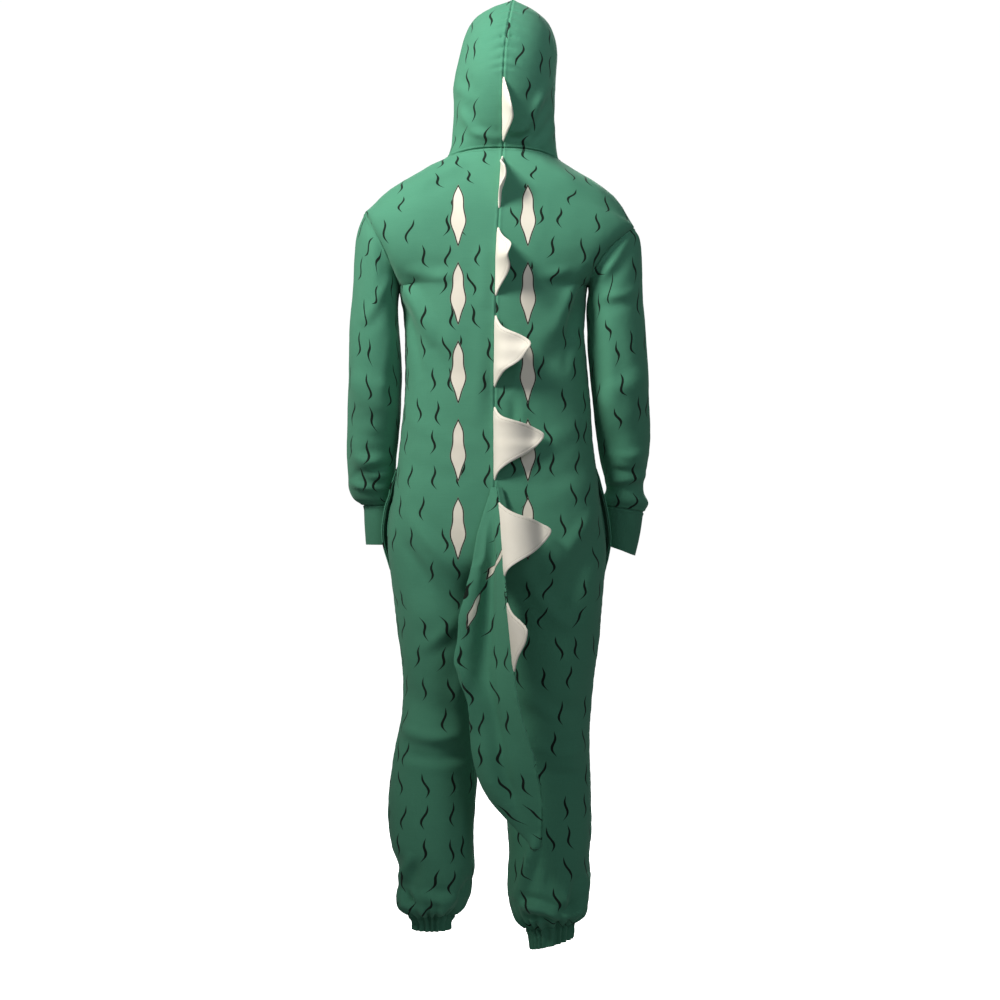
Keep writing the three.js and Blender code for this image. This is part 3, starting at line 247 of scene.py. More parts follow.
# Creases of the outer face: curved ridges (troughs below 0) seen from behind (face -1) or from the front.
CREASES = table("face x1 z1 x2 z2 x3 z3 width height", [
    # hood
    (-1, 78, 124, 66, 84, 36, 46, 8, 3.4), (-1, 98, 92, 88, 56, 58, 30, 7, -3.0),
    (-1, 96, 150, 80, 128, 62, 92, 9, 2.4), (-1, -78, 118, -70, 80, -40, 44, 8, 2.6),
    (-1, -88, 160, -74, 130, -56, 108, 10, 2.0), (-1, -60, 60, -30, 44, 2, 42, 7, 1.8),
    (-1, 12, 44, 36, 40, 60, 52, 6, -2.2),
    # shoulders and upper back
    (-1, -60, 2, -105, -22, -150, -40, 12, 2.0), (-1, 70, 0, 110, -24, 160, -54, 12, 2.0),
    (-1, 171, -182, 128, -232, 104, -330, 12, 4.2), (-1, 163, -236, 132, -284, 122, -402, 9, -3.6),
    (-1, 150, -200, 100, -220, 60, -224, 12, 2.4), (-1, -192, -224, -150, -262, -122, -350, 12, 3.6),
    (-1, -184, -262, -160, -308, -148, -410, 9, -3.0), (-1, -176, -206, -120, -222, -84, -220, 12, 2.2),
    (-1, -40, -300, -32, -400, -42, -500, 16, 2.6), (-1, 10, -310, 24, -380, 12, -440, 10, -2.8),
    (-1, 20, -440, 34, -480, 22, -540, 9, -2.4), (-1, -24, -150, -34, -210, -26, -280, 14, 1.6),
    # waist and seat
    (-1, -176, -478, -110, -530, -36, -540, 18, 1.3), (-1, -182, -560, -120, -596, -50, -600, 18, -1.2),
    (-1, 168, -476, 110, -528, 40, -548, 18, 1.3), (-1, 176, -556, 120, -600, 50, -612, 18, -1.2),
    (-1, -184, -650, -120, -730, -60, -800, 14, 3.2), (-1, -198, -690, -150, -770, -84, -850, 12, -2.6),
    (-1, 180, -650, 130, -736, 62, -800, 14, 3.2), (-1, 192, -700, 150, -780, 90, -858, 12, -2.6),
    (-1, 40, -760, 84, -850, 150, -884, 14, 3.0), (-1, -60, -830, -100, -896, -160, -920, 13, 2.8),
    # thighs and knees
    (-1, -60, -930, -92, -1000, -76, -1090, 14, 3.0), (-1, -70, -1075, -120, -1096, -192, -1066, 12, 4.0),
    (-1, -58, -1112, -110, -1132, -186, -1112, 10, -3.2), (-1, 40, -980, 70, -1040, 140, -1056, 13, 2.8),
    (-1, 60, -1096, 110, -1124, 164, -1104, 12, 3.2), (-1, 70, -1140, 120, -1160, 168, -1150, 11, -2.6),
    (-1, -60, -1190, -70, -1260, -58, -1340, 13, 2.2),
    # lower legs, above the casings
    (-1, -166, -1296, -184, -1350, -188, -1392, 9, 6.9), (-1, -188, -1384, -168, -1408, -142, -1416, 8, 6.0),
    (-1, -180, -1366, -166, -1400, -152, -1420, 6, -5.1), (-1, -66, -1376, -96, -1402, -128, -1410, 9, 6.3),
    (-1, -52, -1346, -72, -1384, -100, -1412, 8, -5.1), (-1, -150, -1370, -110, -1396, -78, -1382, 10, 4.5),
    (-1, 68, -1250, 56, -1330, 26, -1392, 9, 7.5), (-1, 34, -1398, 74, -1392, 106, -1416, 8, 6.6),
    (-1, 44, -1420, 84, -1414, 112, -1436, 7, -5.7), (-1, 132, -1336, 124, -1366, 116, -1404, 8, 6.0),
    (-1, 166, -1340, 160, -1388, 132, -1428, 9, 6.6), (-1, 158, -1376, 140, -1402, 112, -1412, 7, -5.1),
    (-1, 96, -1300, 90, -1350, 98, -1400, 10, -3.6),
    # sleeves from behind
    (-1, -246, -112, -232, -176, -236, -256, 12, 2.6), (-1, -206, -212, -228, -270, -262, -308, 10, 3.0),
    (-1, -282, -398, -240, -430, -196, -420, 15, 1.4), (-1, -196, -300, -226, -390, -224, -470, 12, 1.8),
    (-1, -286, -486, -246, -510, -198, -500, 14, 1.4), (-1, -284, -552, -246, -572, -202, -552, 10, 2.4),
    (-1, -202, -566, -240, -590, -280, -582, 8, -3.4), (-1, -288, -600, -246, -622, -200, -606, 8, 3.8),
    (-1, 246, -130, 222, -184, 184, -226, 10, 3.4), (-1, 264, -236, 232, -258, 186, -254, 10, 2.6),
    (-1, 276, -396, 236, -430, 190, -420, 15, 1.4), (-1, 196, -300, 214, -390, 212, -470, 12, 1.8),
    (-1, 284, -540, 246, -562, 196, -548, 10, 2.4), (-1, 200, -574, 238, -592, 276, -574, 8, -3.0),
    (-1, 282, -584, 246, -606, 200, -596, 8, 3.6),
    # front
    (1, 150, -180, 110, -240, 92, -340, 12, 3.8), (1, 158, -240, 128, -300, 110, -410, 9, -3.2),
    (1, -172, -190, -128, -250, -108, -350, 12, 3.8), (1, -178, -250, -146, -310, -128, -420, 9, -3.2),
    (1, -80, -30, -120, -70, -176, -84, 12, 2.2), (1, 90, -34, 130, -76, 180, -96, 12, 2.2),
    (1, 30, -260, 90, -290, 140, -270, 12, 2.4), (1, -36, -280, -100, -304, -160, -286, 12, 2.4),
    (1, -170, -520, -100, -548, -24, -528, 13, 3.0), (1, 166, -510, 100, -546, 20, -536, 13, 3.0),
    (1, -176, -600, -110, -650, -40, -640, 12, -2.6), (1, 172, -604, 110, -654, 36, -650, 12, -2.6),
    (1, -150, -860, -90, -820, -30, -800, 13, 3.2), (1, 148, -860, 90, -818, 30, -800, 13, 3.2),
    (1, -60, -900, -100, -960, -170, -980, 13, 2.8), (1, 40, -900, 90, -960, 160, -980, 13, 2.8),
    (1, -60, -1090, -120, -1120, -190, -1090, 12, 3.4), (1, 40, -1096, 100, -1128, 164, -1100, 12, 3.4),
    (1, -180, -1330, -150, -1390, -100, -1408, 9, 4.2), (1, -62, -1350, -90, -1396, -130, -1414, 8, -3.6),
    (1, 160, -1340, 130, -1396, 84, -1420, 9, 4.2), (1, 34, -1370, 62, -1412, 100, -1424, 8, -3.6),
    (1, -280, -410, -240, -440, -196, -424, 11, 3.6), (1, 276, -408, 236, -440, 190, -426, 11, 3.6),
    (1, -286, -500, -246, -520, -198, -504, 10, -3.0), (1, 282, -496, 246, -520, 196, -506, 10, -3.0),
    (1, -286, -566, -246, -590, -204, -574, 9, 3.6), (1, 282, -566, 246, -590, 204, -576, 9, 3.6)])

SIDE_SIGN = {"left": -1, "right": 1}
FACE_SIGN = {"back": -1, "front": 1}


# ---------------------------------------------------------------- curves through tables
def between(rows, key, at, column):
    """A smooth value between the rows of a table, with the row's place given by its key column."""
    keys, values = rows[key], rows[column]
    sign = 1 if keys[-1] > keys[0] else -1
    at = np.asarray(at, float)
    i = np.searchsorted(sign * keys[1:-1], sign * at)
    before = np.maximum(np.arange(len(keys)) - 1, 0)
    after = np.minimum(np.arange(len(keys)) + 1, len(keys) - 1)
    slope = (values[after] - values[before]) / (keys[after] - keys[before])
    span = keys[i + 1] - keys[i]
    t = (at - keys[i]) / span
    h = smooth(t)
    bend = t * (1 - t) ** 2 * slope[i] + t * t * (t - 1) * slope[i + 1]
    return values[i] * (1 - h) + values[i + 1] * h + bend * span


def rows_along(rows, place):
    """Whole rows at places from 0 to 1 along a table, each column as an array."""
    index = np.arange(len(next(iter(rows.values()))), dtype=float)
    at = np.asarray(place, float) * index[-1]
    return {name: between({"index": index, name: rows[name]}, "index", at, name) for name in rows}


def smooth(t):
    s = np.clip(t, 0, 1)
    return s * s * (3 - 2 * s)


def bell(t):
    return np.exp(-t * t)


def ring_point(ring, angle, side):
    """Points of a limb's rings at angles from the outer point, going round by the back."""
    across = np.cos(angle)
    scoop = SIDE_SIGN[side] * ring["scoop"] * np.sin(angle) ** 2
    x = (ring["outX"] + ring["inX"]) / 2 + across * (ring["outX"] - ring["inX"]) / 2 - scoop
    y = ring["y"] - ring["depth"] * np.sin(angle)
    z = (ring["outZ"] + ring["inZ"]) / 2 + across * (ring["outZ"] - ring["inZ"]) / 2
    return np.stack(np.broadcast_arrays(x, y, z), axis=-1)


def as_columns(rows):
    return {name: np.asarray(value)[..., None] for name, value in rows.items()}


def across_rows(grid):
    """How far each point lies from the start of its row."""
    step = np.linalg.norm(np.diff(grid, axis=1), axis=2)
    return np.concatenate([np.zeros((len(grid), 1)), np.cumsum(step, axis=1)], axis=1)

def spaced_out(curves, inner):
    """Each row's curve with points at the seam steps from both ends and inner + 1 spaces between them.
    Also gives each point's distance from the row's start, and the row's length."""
    along = across_rows(curves)
    grid, distance = [], []
    for row, s in zip(curves, along):
        edge = np.array(SEAM_STEPS) * min(1, s[-1] / (3 * SEAM_STEPS[-1]))
        middle = np.linspace(edge[-1], s[-1] - edge[-1], inner + 2)[1:-1]
        at = np.concatenate([edge, middle, s[-1] - edge[::-1]])
        grid.append(np.stack([np.interp(at, s, row[:, k]) for k in range(3)], axis=1))
        distance.append(at)
    return np.array(grid), np.array(distance), along[:, -1:]


def fine_rows(count, per_step, first_mm=None, last_mm=None):
    """Row places from 0 to count, per_step to a step, with more beside an end whose step is so many mm."""
    places = np.arange(count * per_step + 1) / per_step
    extra = []
    if first_mm:
        extra += [d / first_mm for d in SEAM_STEPS[1:]]
    if last_mm:
        extra += [count - d / last_mm for d in SEAM_STEPS[1:]]
    return np.unique(np.round(np.concatenate([places, extra]), 4))


# ---------------------------------------------------------------- grids of the pieces
def slot_half(z):
    return ZIP_HALF * smooth((z - ZIP_END_Z + ZIP_TAPER) / ZIP_TAPER)


def quarter_rows(centre, edge, t):
    """Rows of a quarter of the body, from the centre line to its edge at the shoulder, armhole or side."""
    out = np.sin(t * math.pi / 2)[None, :, None] ** SQUARENESS
    keep = np.maximum(np.cos(t * math.pi / 2), 0)[None, :, None] ** SQUARENESS
    c, e = centre[:, None], edge[:, None]
    return np.concatenate([
        c[..., 0:1] + (e[..., 0:1] - c[..., 0:1]) * out,
        e[..., 1:2] + (c[..., 1:2] - e[..., 1:2]) * keep,
        c[..., 2:3] + (e[..., 2:3] - c[..., 2:3]) * (1 - keep * keep)], axis=2)


def centre_points(side, face, z):
    slot = slot_half(z) if face == "front" else 0
    return np.stack([between(CENTRE, "z", z, "x") + SIDE_SIGN[side] * slot,
                     between(CENTRE, "z", z, face), z], axis=1)


def body_piece(side, face):
    """A full-length panel, from the neckline to the ankle."""
    t = np.linspace(0, 1, ROW_CURVE)
    top = NECK_BACK_Z if face == "back" else NECK_FRONT_Z
    i = fine_rows(UPPER_STEPS, 6, first_mm=(top - UNDERARM_Z) / UPPER_STEPS)[:-1]
    centre = centre_points(side, face, top + (UNDERARM_Z - top) * i / UPPER_STEPS)
    seam = rows_along(SHOULDERS[side], np.minimum(i / SHOULDER_STEPS, 1))
    armhole = {name: column[0] for name, column in SLEEVES[side].items()}
    angle = -FACE_SIGN[face] * math.pi * (i - SHOULDER_STEPS) / QUARTER
    edge = np.where((i < SHOULDER_STEPS)[:, None],
                    np.stack([seam["x"], seam["y"], seam["z"]], axis=1), ring_point(armhole, angle, side))
    upper = quarter_rows(centre, edge, t)

    z = np.linspace(UNDERARM_Z, CROTCH_Z, 145)
    centre = centre_points(side, face, z)
    side_x = between(SIDES, "z", z, side)
    front, back = between(CENTRE, "z", z, "front"), between(CENTRE, "z", z, "back")
    ring = as_columns({"outX": side_x, "outZ": z, "inX": centre[:, 0], "inZ": z,
                       "y": (front + back) / 2, "depth": (front - back) / 2, "scoop": 0 * z})
    round_rows = ring_point(ring, math.pi + FACE_SIGN[face] * math.pi * t, side)
    closing = smooth((SEAT_Z - z) / (SEAT_Z - CROTCH_Z))[:, None, None]
    edge = np.stack([side_x, 0 * z, z], axis=1)
    lower = quarter_rows(centre, edge, t) * (1 - closing) + round_rows * closing
    if face == "front":
        down = np.clip((POCKET_TOP_Z - z) / (POCKET_TOP_Z - POCKET_BOTTOM_Z), 0, 1)
        bow = POCKET_BOW * np.sin(math.pi * down)[:, None] ** 1.2 * t ** 5
        lower += bow[:, :, None] * np.array([SIDE_SIGN[side], 1 / 3, 0])

    places = fine_rows(LEG_STEPS, 10, last_mm=12)[1:] / LEG_STEPS
    leg = as_columns(rows_along(LEGS[side], places))
    legs = ring_point(leg, math.pi + FACE_SIGN[face] * math.pi * t, side)
    return panel(np.concatenate([upper, lower, legs]), inner=46)


def panel(curves, inner, **facts):
    grid, across, width = spaced_out(curves, inner)
    return {"grid": grid, "u": across, "width": width, "v": down_rows(grid), "closed": False, **facts}


def down_rows(grid):
    """How far each row lies from the first, along the middle of the piece."""
    step = np.linalg.norm(np.diff(grid, axis=0), axis=2).mean(axis=1)
    return np.concatenate([[0], np.cumsum(step)])[:, None] + np.zeros(grid.shape[:2])


def ring_piece(rings, side, places, columns):
    """A tube of cloth, open at both ends. Its last column repeats its first."""
    angle = np.linspace(0, 2 * math.pi, columns + 1)
    grid = ring_point(as_columns(rows_along(rings, places)), angle, side)
    around = across_rows(grid)
    return {"grid": grid, "u": around, "width": around[:, -1:], "v": down_rows(grid), "closed": True}


def hood_piece(side, neckline):
    """Half of the hood. Its first row is the neckline, its first column the seam over the head."""
    share = np.concatenate([[0], np.cumsum(np.linalg.norm(np.diff(neckline, axis=0), axis=1))])
    share /= share[-1]
    rows = as_columns(HOOD)
    face_angle = math.pi - np.arcsin(np.minimum(rows["faceX"] / np.maximum(rows["width"], 1), 0.98))
    angle = share * face_angle
    forward = (1 - np.cos(angle)) / (1 - np.cos(face_angle))
    middle = rows["seamX"] + (rows["midX"] - rows["seamX"]) * np.sin(angle)
    coarse = np.stack([middle + SIDE_SIGN[side] * rows["width"] * np.sin(angle),
                       rows["backY"] + (rows["faceY"] - rows["backY"]) * forward,
                       rows["backZ"] + (rows["faceZ"] - rows["backZ"]) * forward], axis=-1)
    coarse = np.concatenate([neckline[None], coarse])
    places = fine_rows(HOOD_STEPS, 9, first_mm=34, last_mm=34)
    index = np.arange(HOOD_STEPS + 1, dtype=float)
    grid = np.stack([[between({"i": index, "p": coarse[:, j, k]}, "i", places, "p")
                      for j in range(coarse.shape[1])] for k in range(3)], axis=-1).transpose(1, 0, 2)
    across = across_rows(grid)
    return {"grid": grid, "u": across, "width": across[:, -1:], "v": down_rows(grid), "closed": False}


def centripetal(points, count):
    """A smooth curve through the points of each row, count + 1 points long."""
    points = [2 * points[0] - points[1], *points, 2 * points[-1] - points[-2]]
    parts = len(points) - 3
    curve = []
    for at in np.linspace(0, parts, count + 1):
        k = min(int(at), parts - 1)
        a, b, c, d = points[k:k + 4]
        gaps = [np.maximum(np.linalg.norm(q - p, axis=-1, keepdims=True), 1e-4) ** 0.5
                for p, q in ((a, b), (b, c), (c, d))]
        first = ((b - a) / gaps[0] - (c - a) / (gaps[0] + gaps[1]) + (c - b) / gaps[1]) * gaps[1]
        last = ((c - b) / gaps[1] - (d - b) / (gaps[1] + gaps[2]) + (d - c) / gaps[2]) * gaps[1]
        t = at - k
        h = t * t * (3 - 2 * t)
        curve.append(b * (1 - h) + c * h + first * t * (1 - t) ** 2 + last * t * t * (t - 1))
    return np.stack(curve, axis=1)


def tail_piece(side, back_face):
    """Half of the tail, from the keel or the seat to the ridge. It closes to a point."""
    rows = rows_along(TAIL, fine_rows(TAIL_STEPS, 11) / TAIL_STEPS)
    half = np.maximum(rows["rootHalf"], 0.3)
    on_back = rows["z"] > TAIL_ROOT_END_Z
    root_x = np.where(on_back, rows["rootX"] + SIDE_SIGN[side] * half, rows["rootX"])
    root_y = np.array([back_face(x, z) - 0.4 if on else y
                       for x, z, y, on in zip(root_x, rows["z"], rows["keelY"], on_back)])
    at = {name: np.stack([rows[name + "X"], rows[name + "Y"], rows["z"]], axis=1)
          for name in ("left", "fold", "ridge")}
    root = np.stack([root_x, root_y, rows["z"]], axis=1)
    bulge = (root + at["ridge"]) / 2 + np.stack([half / 4 + 8, 0 * half, 0 * half], axis=1)
    through = [root, at["left"], at["fold"], at["ridge"]] if side == "left" else [root, bulge, at["ridge"]]
    curves = centripetal(through, 72)
    tip = np.array([69.0, -190.0, rows["z"][-1] - TIP_CLOSE])
    closed_in = [curves[-1] * (1 - t) + tip * t for t in (0.35, 0.7, 0.97)]
    core = (root + at["left"] + at["ridge"]) / 3
    core = np.concatenate([core, np.repeat(core[-1:], 3, axis=0)])[:, None]
    return panel(np.concatenate([curves, closed_in]), inner=30, core=core)


# ---------------------------------------------------------------- normals, folds and seams
def set_normals(pieces):
    """Outward normals on every grid, shared where pieces meet."""
    rim_points, rim_places = [], []
    for name, piece in pieces.items():
        grid = piece["grid"]
        if piece["closed"]:
            wide = np.concatenate([grid[:, -2:-1], grid, grid[:, 1:2]], axis=1)
            across = (wide[:, 2:] - wide[:, :-2])
        else:
            across = np.gradient(grid, axis=1)
        normal = np.cross(across, np.gradient(grid, axis=0))
        normal /= np.maximum(np.linalg.norm(normal, axis=2, keepdims=True), 1e-9)
        core = piece.get("core", grid.reshape(-1, 3).mean(axis=0))
        piece["normal"] = normal * np.sign((normal * (grid - core)).sum())
        rim = np.zeros(grid.shape[:2], bool)
        rim[[0, -1]] = True
        rim[:, [0, -1]] = True
        for i, j in np.argwhere(rim):
            rim_points.append(grid[i, j])
            rim_places.append((name, i, j))
    tree = KDTree(len(rim_points))
    for k, point in enumerate(rim_points):
        tree.insert(point, k)
    tree.balance()
    normals = [pieces[name]["normal"][i, j].copy() for name, i, j in rim_places]
    for k, (name, i, j) in enumerate(rim_places):
        near = [normals[m] for _, m, _ in tree.find_range(rim_points[k], 0.05)]
        total = np.sum(near, axis=0)
        pieces[name]["normal"][i, j] = total / max(np.linalg.norm(total), 1e-9)


def fold_height(points):
    total = np.zeros(points.shape[:-1])
    for x1, y1, z1, x2, y2, z2, width, height in zip(*FOLDS.values()):
        start, end = np.array([x1, y1, z1]), np.array([x2, y2, z2])
        line = end - start
        t = np.clip((points - start) @ line / (line @ line), 0, 1)
        total += height * bell(np.linalg.norm(points - start - t[..., None] * line, axis=-1) / width)
    return total


def crease_height(points, normals):
    """The fine creases: each is a ridge with a shallower trough beside it, and fades at its ends."""
    total = np.zeros(points.shape[:-1])
    flat = points[..., [0, 2]]
    for number, crease in enumerate(zip(*CREASES.values())):
        face, x1, z1, x2, z2, x3, z3, width, height = crease
        through = np.array([[x1, z1], [x2, z2], [x3, z3]])
        reach = 3 * width
        near = np.all((flat > through.min(axis=0) - reach) & (flat < through.max(axis=0) + reach), axis=-1)
        near &= face * normals[..., 1] > -0.4
        if not near.any():
            continue
        place = flat[near]
        t = np.linspace(0, 1, 10)[:, None]
        curve = through[0] * (1 - t) ** 2 + 2 * through[1] * t * (1 - t) + through[2] * t * t
        best = np.full(len(place), np.inf)
        side, along = np.zeros(len(place)), np.zeros(len(place))
        for k, (start, end) in enumerate(zip(curve[:-1], curve[1:])):
            line = end - start
            s = np.clip((place - start) @ line / (line @ line), 0, 1)
            away = place - start - s[:, None] * line
            distance = np.linalg.norm(away, axis=1)
            nearer = distance < best
            best[nearer] = distance[nearer]
            turn = np.sign(line[0] * away[:, 1] - line[1] * away[:, 0])
            side[nearer], along[nearer] = turn[nearer], ((k + s) / 9)[nearer]
        signed = best * side
        strength = np.maximum(np.sin(math.pi * along), 0) ** 0.7 * (1 + 0.25 * np.sin(9 * along + number))
        shape = bell(signed / width) - 0.5 * bell((signed - 1.7 * width) / (1.2 * width))
        facing = smooth((face * normals[near][:, 1] + 0.4) / 0.7)
        total[near] += height * strength * shape * facing
    return CREASE_STRENGTH * total


def soft_noise(points, size, seed):
    """Smooth random values from -1 to 1, on a lattice with cells of this size."""
    lattice = np.random.default_rng(seed).uniform(-1, 1, (32, 32, 32))
    cell = points / size
    low = np.floor(cell).astype(int)
    part = smooth(cell - low)
    total = np.zeros(points.shape[:-1])
    for corner in np.ndindex(2, 2, 2):
        weight = np.prod(np.where(np.array(corner) == 1, part, 1 - part), axis=-1)
        x, y, z = np.moveaxis((low + corner) % 32, -1, 0)
        total += weight * lattice[x, y, z]
    return total


def drape(points):
    """Uneven soft waves of loose knit, longer down the garment than across it."""
    turned = points * np.array([1, 1, 0.6]) + points[..., 2:3] * np.array([0.35, 0, 0])
    return (1.5 * soft_noise(turned, 62, 1) + 0.8 * soft_noise(turned, 27, 2)
            + 0.25 * soft_noise(points, 11, 3))


def seam_relief(distance, along, stitched):
    """A seam's ditch, the allowance pressed to its side, small puckers, and the row of stitches."""
    relief = -1.3 * bell(distance / 1.6) + 0.9 * bell((distance - 3.8) / 2.4)
    relief += 0.35 * np.sin(along / 4.1 + 2 * np.sin(along / 17)) * bell(distance / 8)
    if stitched:
        relief -= 0.55 * bell((distance - SEAM_STITCH) / 0.9)
    return relief


def hem_relief(distance):
    """A hem folded double: thicker up to its stitches, which sink in."""
    return 0.8 * smooth((HEM_STITCH - distance) / 3) - 0.7 * bell((distance - HEM_STITCH) / 1.6)


def edge_distances(piece):
    return {"start": piece["u"], "end": piece["width"] - piece["u"],
            "top": piece["v"], "bottom": piece["v"][-1:] - piece["v"]}


def dress(piece, seams, lift=0):
    """Moves a piece's points out by its creases, its drape and the relief of its edges.
    seams gives each edge's kind, and the place of its stitches is kept for the material."""
    grid, normal = piece["grid"], piece["normal"]
    height = crease_height(grid, normal) + drape(grid) + lift
    distance = edge_distances(piece)
    stitch = np.full(grid.shape[:2], NO_STITCH)
    along_stitch = piece["v"].copy()
    for edge, kind in seams.items():
        d = distance[edge]
        along = piece["v"] if edge in ("start", "end") else piece["u"]
        if kind in ("plain", "stitched"):
            height += seam_relief(d, along, kind == "stitched")
        if kind == "hem":
            height += hem_relief(d)
        offset = {"hem": HEM_STITCH, "stitched": SEAM_STITCH}.get(kind)
        if offset:
            nearer = np.abs(d - offset) < np.abs(stitch)
            stitch = np.where(nearer, d - offset, stitch)
            along_stitch = np.where(nearer, along, along_stitch)
        if kind == "mouth":
            inside = smooth((POCKET_TOP_Z - grid[..., 2]) / 8) * smooth((grid[..., 2] - POCKET_BOTTOM_Z) / 8)
            height += seam_relief(d, along, False) * (1 - inside) + 1.4 * hem_relief(d) * inside
            on_mouth = (inside > 0.5) & (np.abs(d - HEM_STITCH) < np.abs(stitch))
            stitch = np.where(on_mouth, d - HEM_STITCH, stitch)
            along_stitch = np.where(on_mouth, along, along_stitch)
    piece["stitch"], piece["along"] = stitch, along_stitch
    piece["grid"] = grid + normal * height[..., None]


# ---------------------------------------------------------------- meshes
def mesh_object(name, vertices, faces, maps):
    """A mesh in metres from points in millimetres. The named UV maps are given in mm for each point of
    the outer grid, and serve the inner grid too."""
    mesh = bpy.data.meshes.new(name)
    mesh.from_pydata((np.asarray(vertices) * MM).tolist(), [], np.asarray(faces).tolist())
    corner = np.zeros(len(mesh.loops), int)
    mesh.loops.foreach_get("vertex_index", corner)
    for title, values in maps.items():
        layer = mesh.uv_layers.new(name=title)
        layer.data.foreach_set("uv", (values[corner % len(values)] * MM).astype(np.float32).ravel())
    mesh.shade_smooth()
    made = bpy.data.objects.new(name, mesh)
    bpy.context.scene.collection.objects.link(made)
    return made


def wall_faces(rows, columns):
    """Quads of a closed wall between an outer and an inner grid, wound outwards for a right-handed one."""
    index = np.arange(rows * columns).reshape(rows, columns)
    inner = index + rows * columns

    def quads(a, b, c, d):
        return np.stack([a, b, c, d], axis=-1).reshape(-1, 4)

    faces = [quads(index[:-1, :-1], index[1:, :-1], index[1:, 1:], index[:-1, 1:]),
             quads(inner[:-1, :-1], inner[:-1, 1:], inner[1:, 1:], inner[1:, :-1]),
             quads(index[0, :-1], index[0, 1:], inner[0, 1:], inner[0, :-1]),
             quads(index[-1, :-1], inner[-1, :-1], inner[-1, 1:], index[-1, 1:])]
    rims = [quads(index[:-1, 0], inner[:-1, 0], inner[1:, 0], index[1:, 0]),
            quads(index[:-1, -1], index[1:, -1], inner[1:, -1], inner[:-1, -1])]
    return faces, rims


def wound_outwards(points, faces):
    """The same faces, all turned over if they wind inwards."""
    a, b, c = points[faces[:, 0]], points[faces[:, 1]], points[faces[:, 2]]
    return faces[:, ::-1] if (a * np.cross(b, c)).sum() < 0 else faces

def wall_object(name, piece, thickness):
    """The cloth itself: the piece's grid and the same grid a thickness further in."""
    grid, normal = piece["grid"], piece["normal"]
    rows, columns = grid.shape[:2]
    points = np.concatenate([grid.reshape(-1, 3), (grid - normal * thickness).reshape(-1, 3)])
    faces, rims = wall_faces(rows, columns)
    faces = wound_outwards(points, np.concatenate(faces + ([] if piece["closed"] else rims)))
    cloth = np.stack([piece["u"], piece["v"]], axis=-1).reshape(-1, 2)
    if name.endswith("_right"):
        cloth = cloth + PRINT_SHIFT
    seam = np.stack([piece.get("stitch", 0 * piece["u"] + NO_STITCH), piece.get("along", piece["v"])],
                    axis=-1).reshape(-1, 2)
    made = mesh_object(name, points, faces, {"cloth": cloth, "seam": seam})
    finish_mesh(made)
    return made


def finish_mesh(made, crisp=50):
    """Merges doubles and keeps only crisp edges sharp."""
    bpy.ops.object.select_all(action="DESELECT")
    made.select_set(True)
    bpy.context.view_layer.objects.active = made
    bpy.ops.object.mode_set(mode="EDIT")
    bpy.ops.mesh.select_all(action="SELECT")
    bpy.ops.mesh.remove_doubles(threshold=2e-5)
    bpy.ops.mesh.dissolve_degenerate(threshold=1e-6)
    bpy.ops.object.mode_set(mode="OBJECT")
    bpy.ops.object.shade_smooth_by_angle(angle=math.radians(crisp))
    made.select_set(False)


# ---------------------------------------------------------------- materials
def colour(code):
    """An sRGB hex value as linear light."""
    parts = [int(code[i:i + 2], 16) / 255 for i in (1, 3, 5)]
    return (*[p / 12.92 if p <= 0.04045 else ((p + 0.055) / 1.055) ** 2.4 for p in parts], 1.0)


def add(tree, kind, inputs=None, **settings):
    """Adds a node with its settings, and its inputs as values or as links from other nodes' sockets."""
    node = tree.nodes.new(kind)
    for name, value in settings.items():
        setattr(node, name, value)
    for socket, value in (inputs or {}).items():
        if isinstance(value, bpy.types.NodeSocket):
            tree.links.new(value, node.inputs[socket])
        else:
            node.inputs[socket].default_value = value
    return node


def maths(tree, operation, *values, clamp=False):
    return add(tree, "ShaderNodeMath", dict(enumerate(values)), operation=operation,
               use_clamp=clamp).outputs[0]


def new_material(name, **settings):
    """A material with a principled shader, whose sockets take the settings given."""
    material = bpy.data.materials.new(name)
    material.use_nodes = True
    tree = material.node_tree
    tree.nodes.clear()
    shader = add(tree, "ShaderNodeBsdfPrincipled", settings)
    add(tree, "ShaderNodeOutputMaterial", {"Surface": shader.outputs[0]})
    return material, tree, shader


def mix_colour(tree, share, first, second):
    node = tree.nodes.new("ShaderNodeMix")
    node.data_type = "RGBA"
    for socket, value in ((0, share), (6, first), (7, second)):
        if isinstance(value, bpy.types.NodeSocket):
            tree.links.new(value, node.inputs[socket])
        else:
            node.inputs[socket].default_value = value
    return node.outputs[2]


def in_mm(tree, uv_map):
    """The piece's own map as millimetres across and along."""
    uv = add(tree, "ShaderNodeUVMap", uv_map=uv_map).outputs[0]
    scaled = add(tree, "ShaderNodeVectorMath", {0: uv, 1: (1000, 1000, 1000)}, operation="MULTIPLY")
    parts = add(tree, "ShaderNodeSeparateXYZ", {0: scaled.outputs[0]})
    return parts.outputs[0], parts.outputs[1]


def stitches(tree):
    """Where the thread of a row of stitches shows, from the piece's map of its seams."""
    from_stitch, along = in_mm(tree, "seam")
    off = maths(tree, "DIVIDE", maths(tree, "ABSOLUTE", from_stitch), STITCH_HALF)
    place = maths(tree, "FRACT", maths(tree, "DIVIDE", along, STITCH_PITCH))
    return maths(tree, "MULTIPLY", maths(tree, "SUBTRACT", 1.0, off, clamp=True),
                 maths(tree, "LESS_THAN", place, STITCH_SHARE))

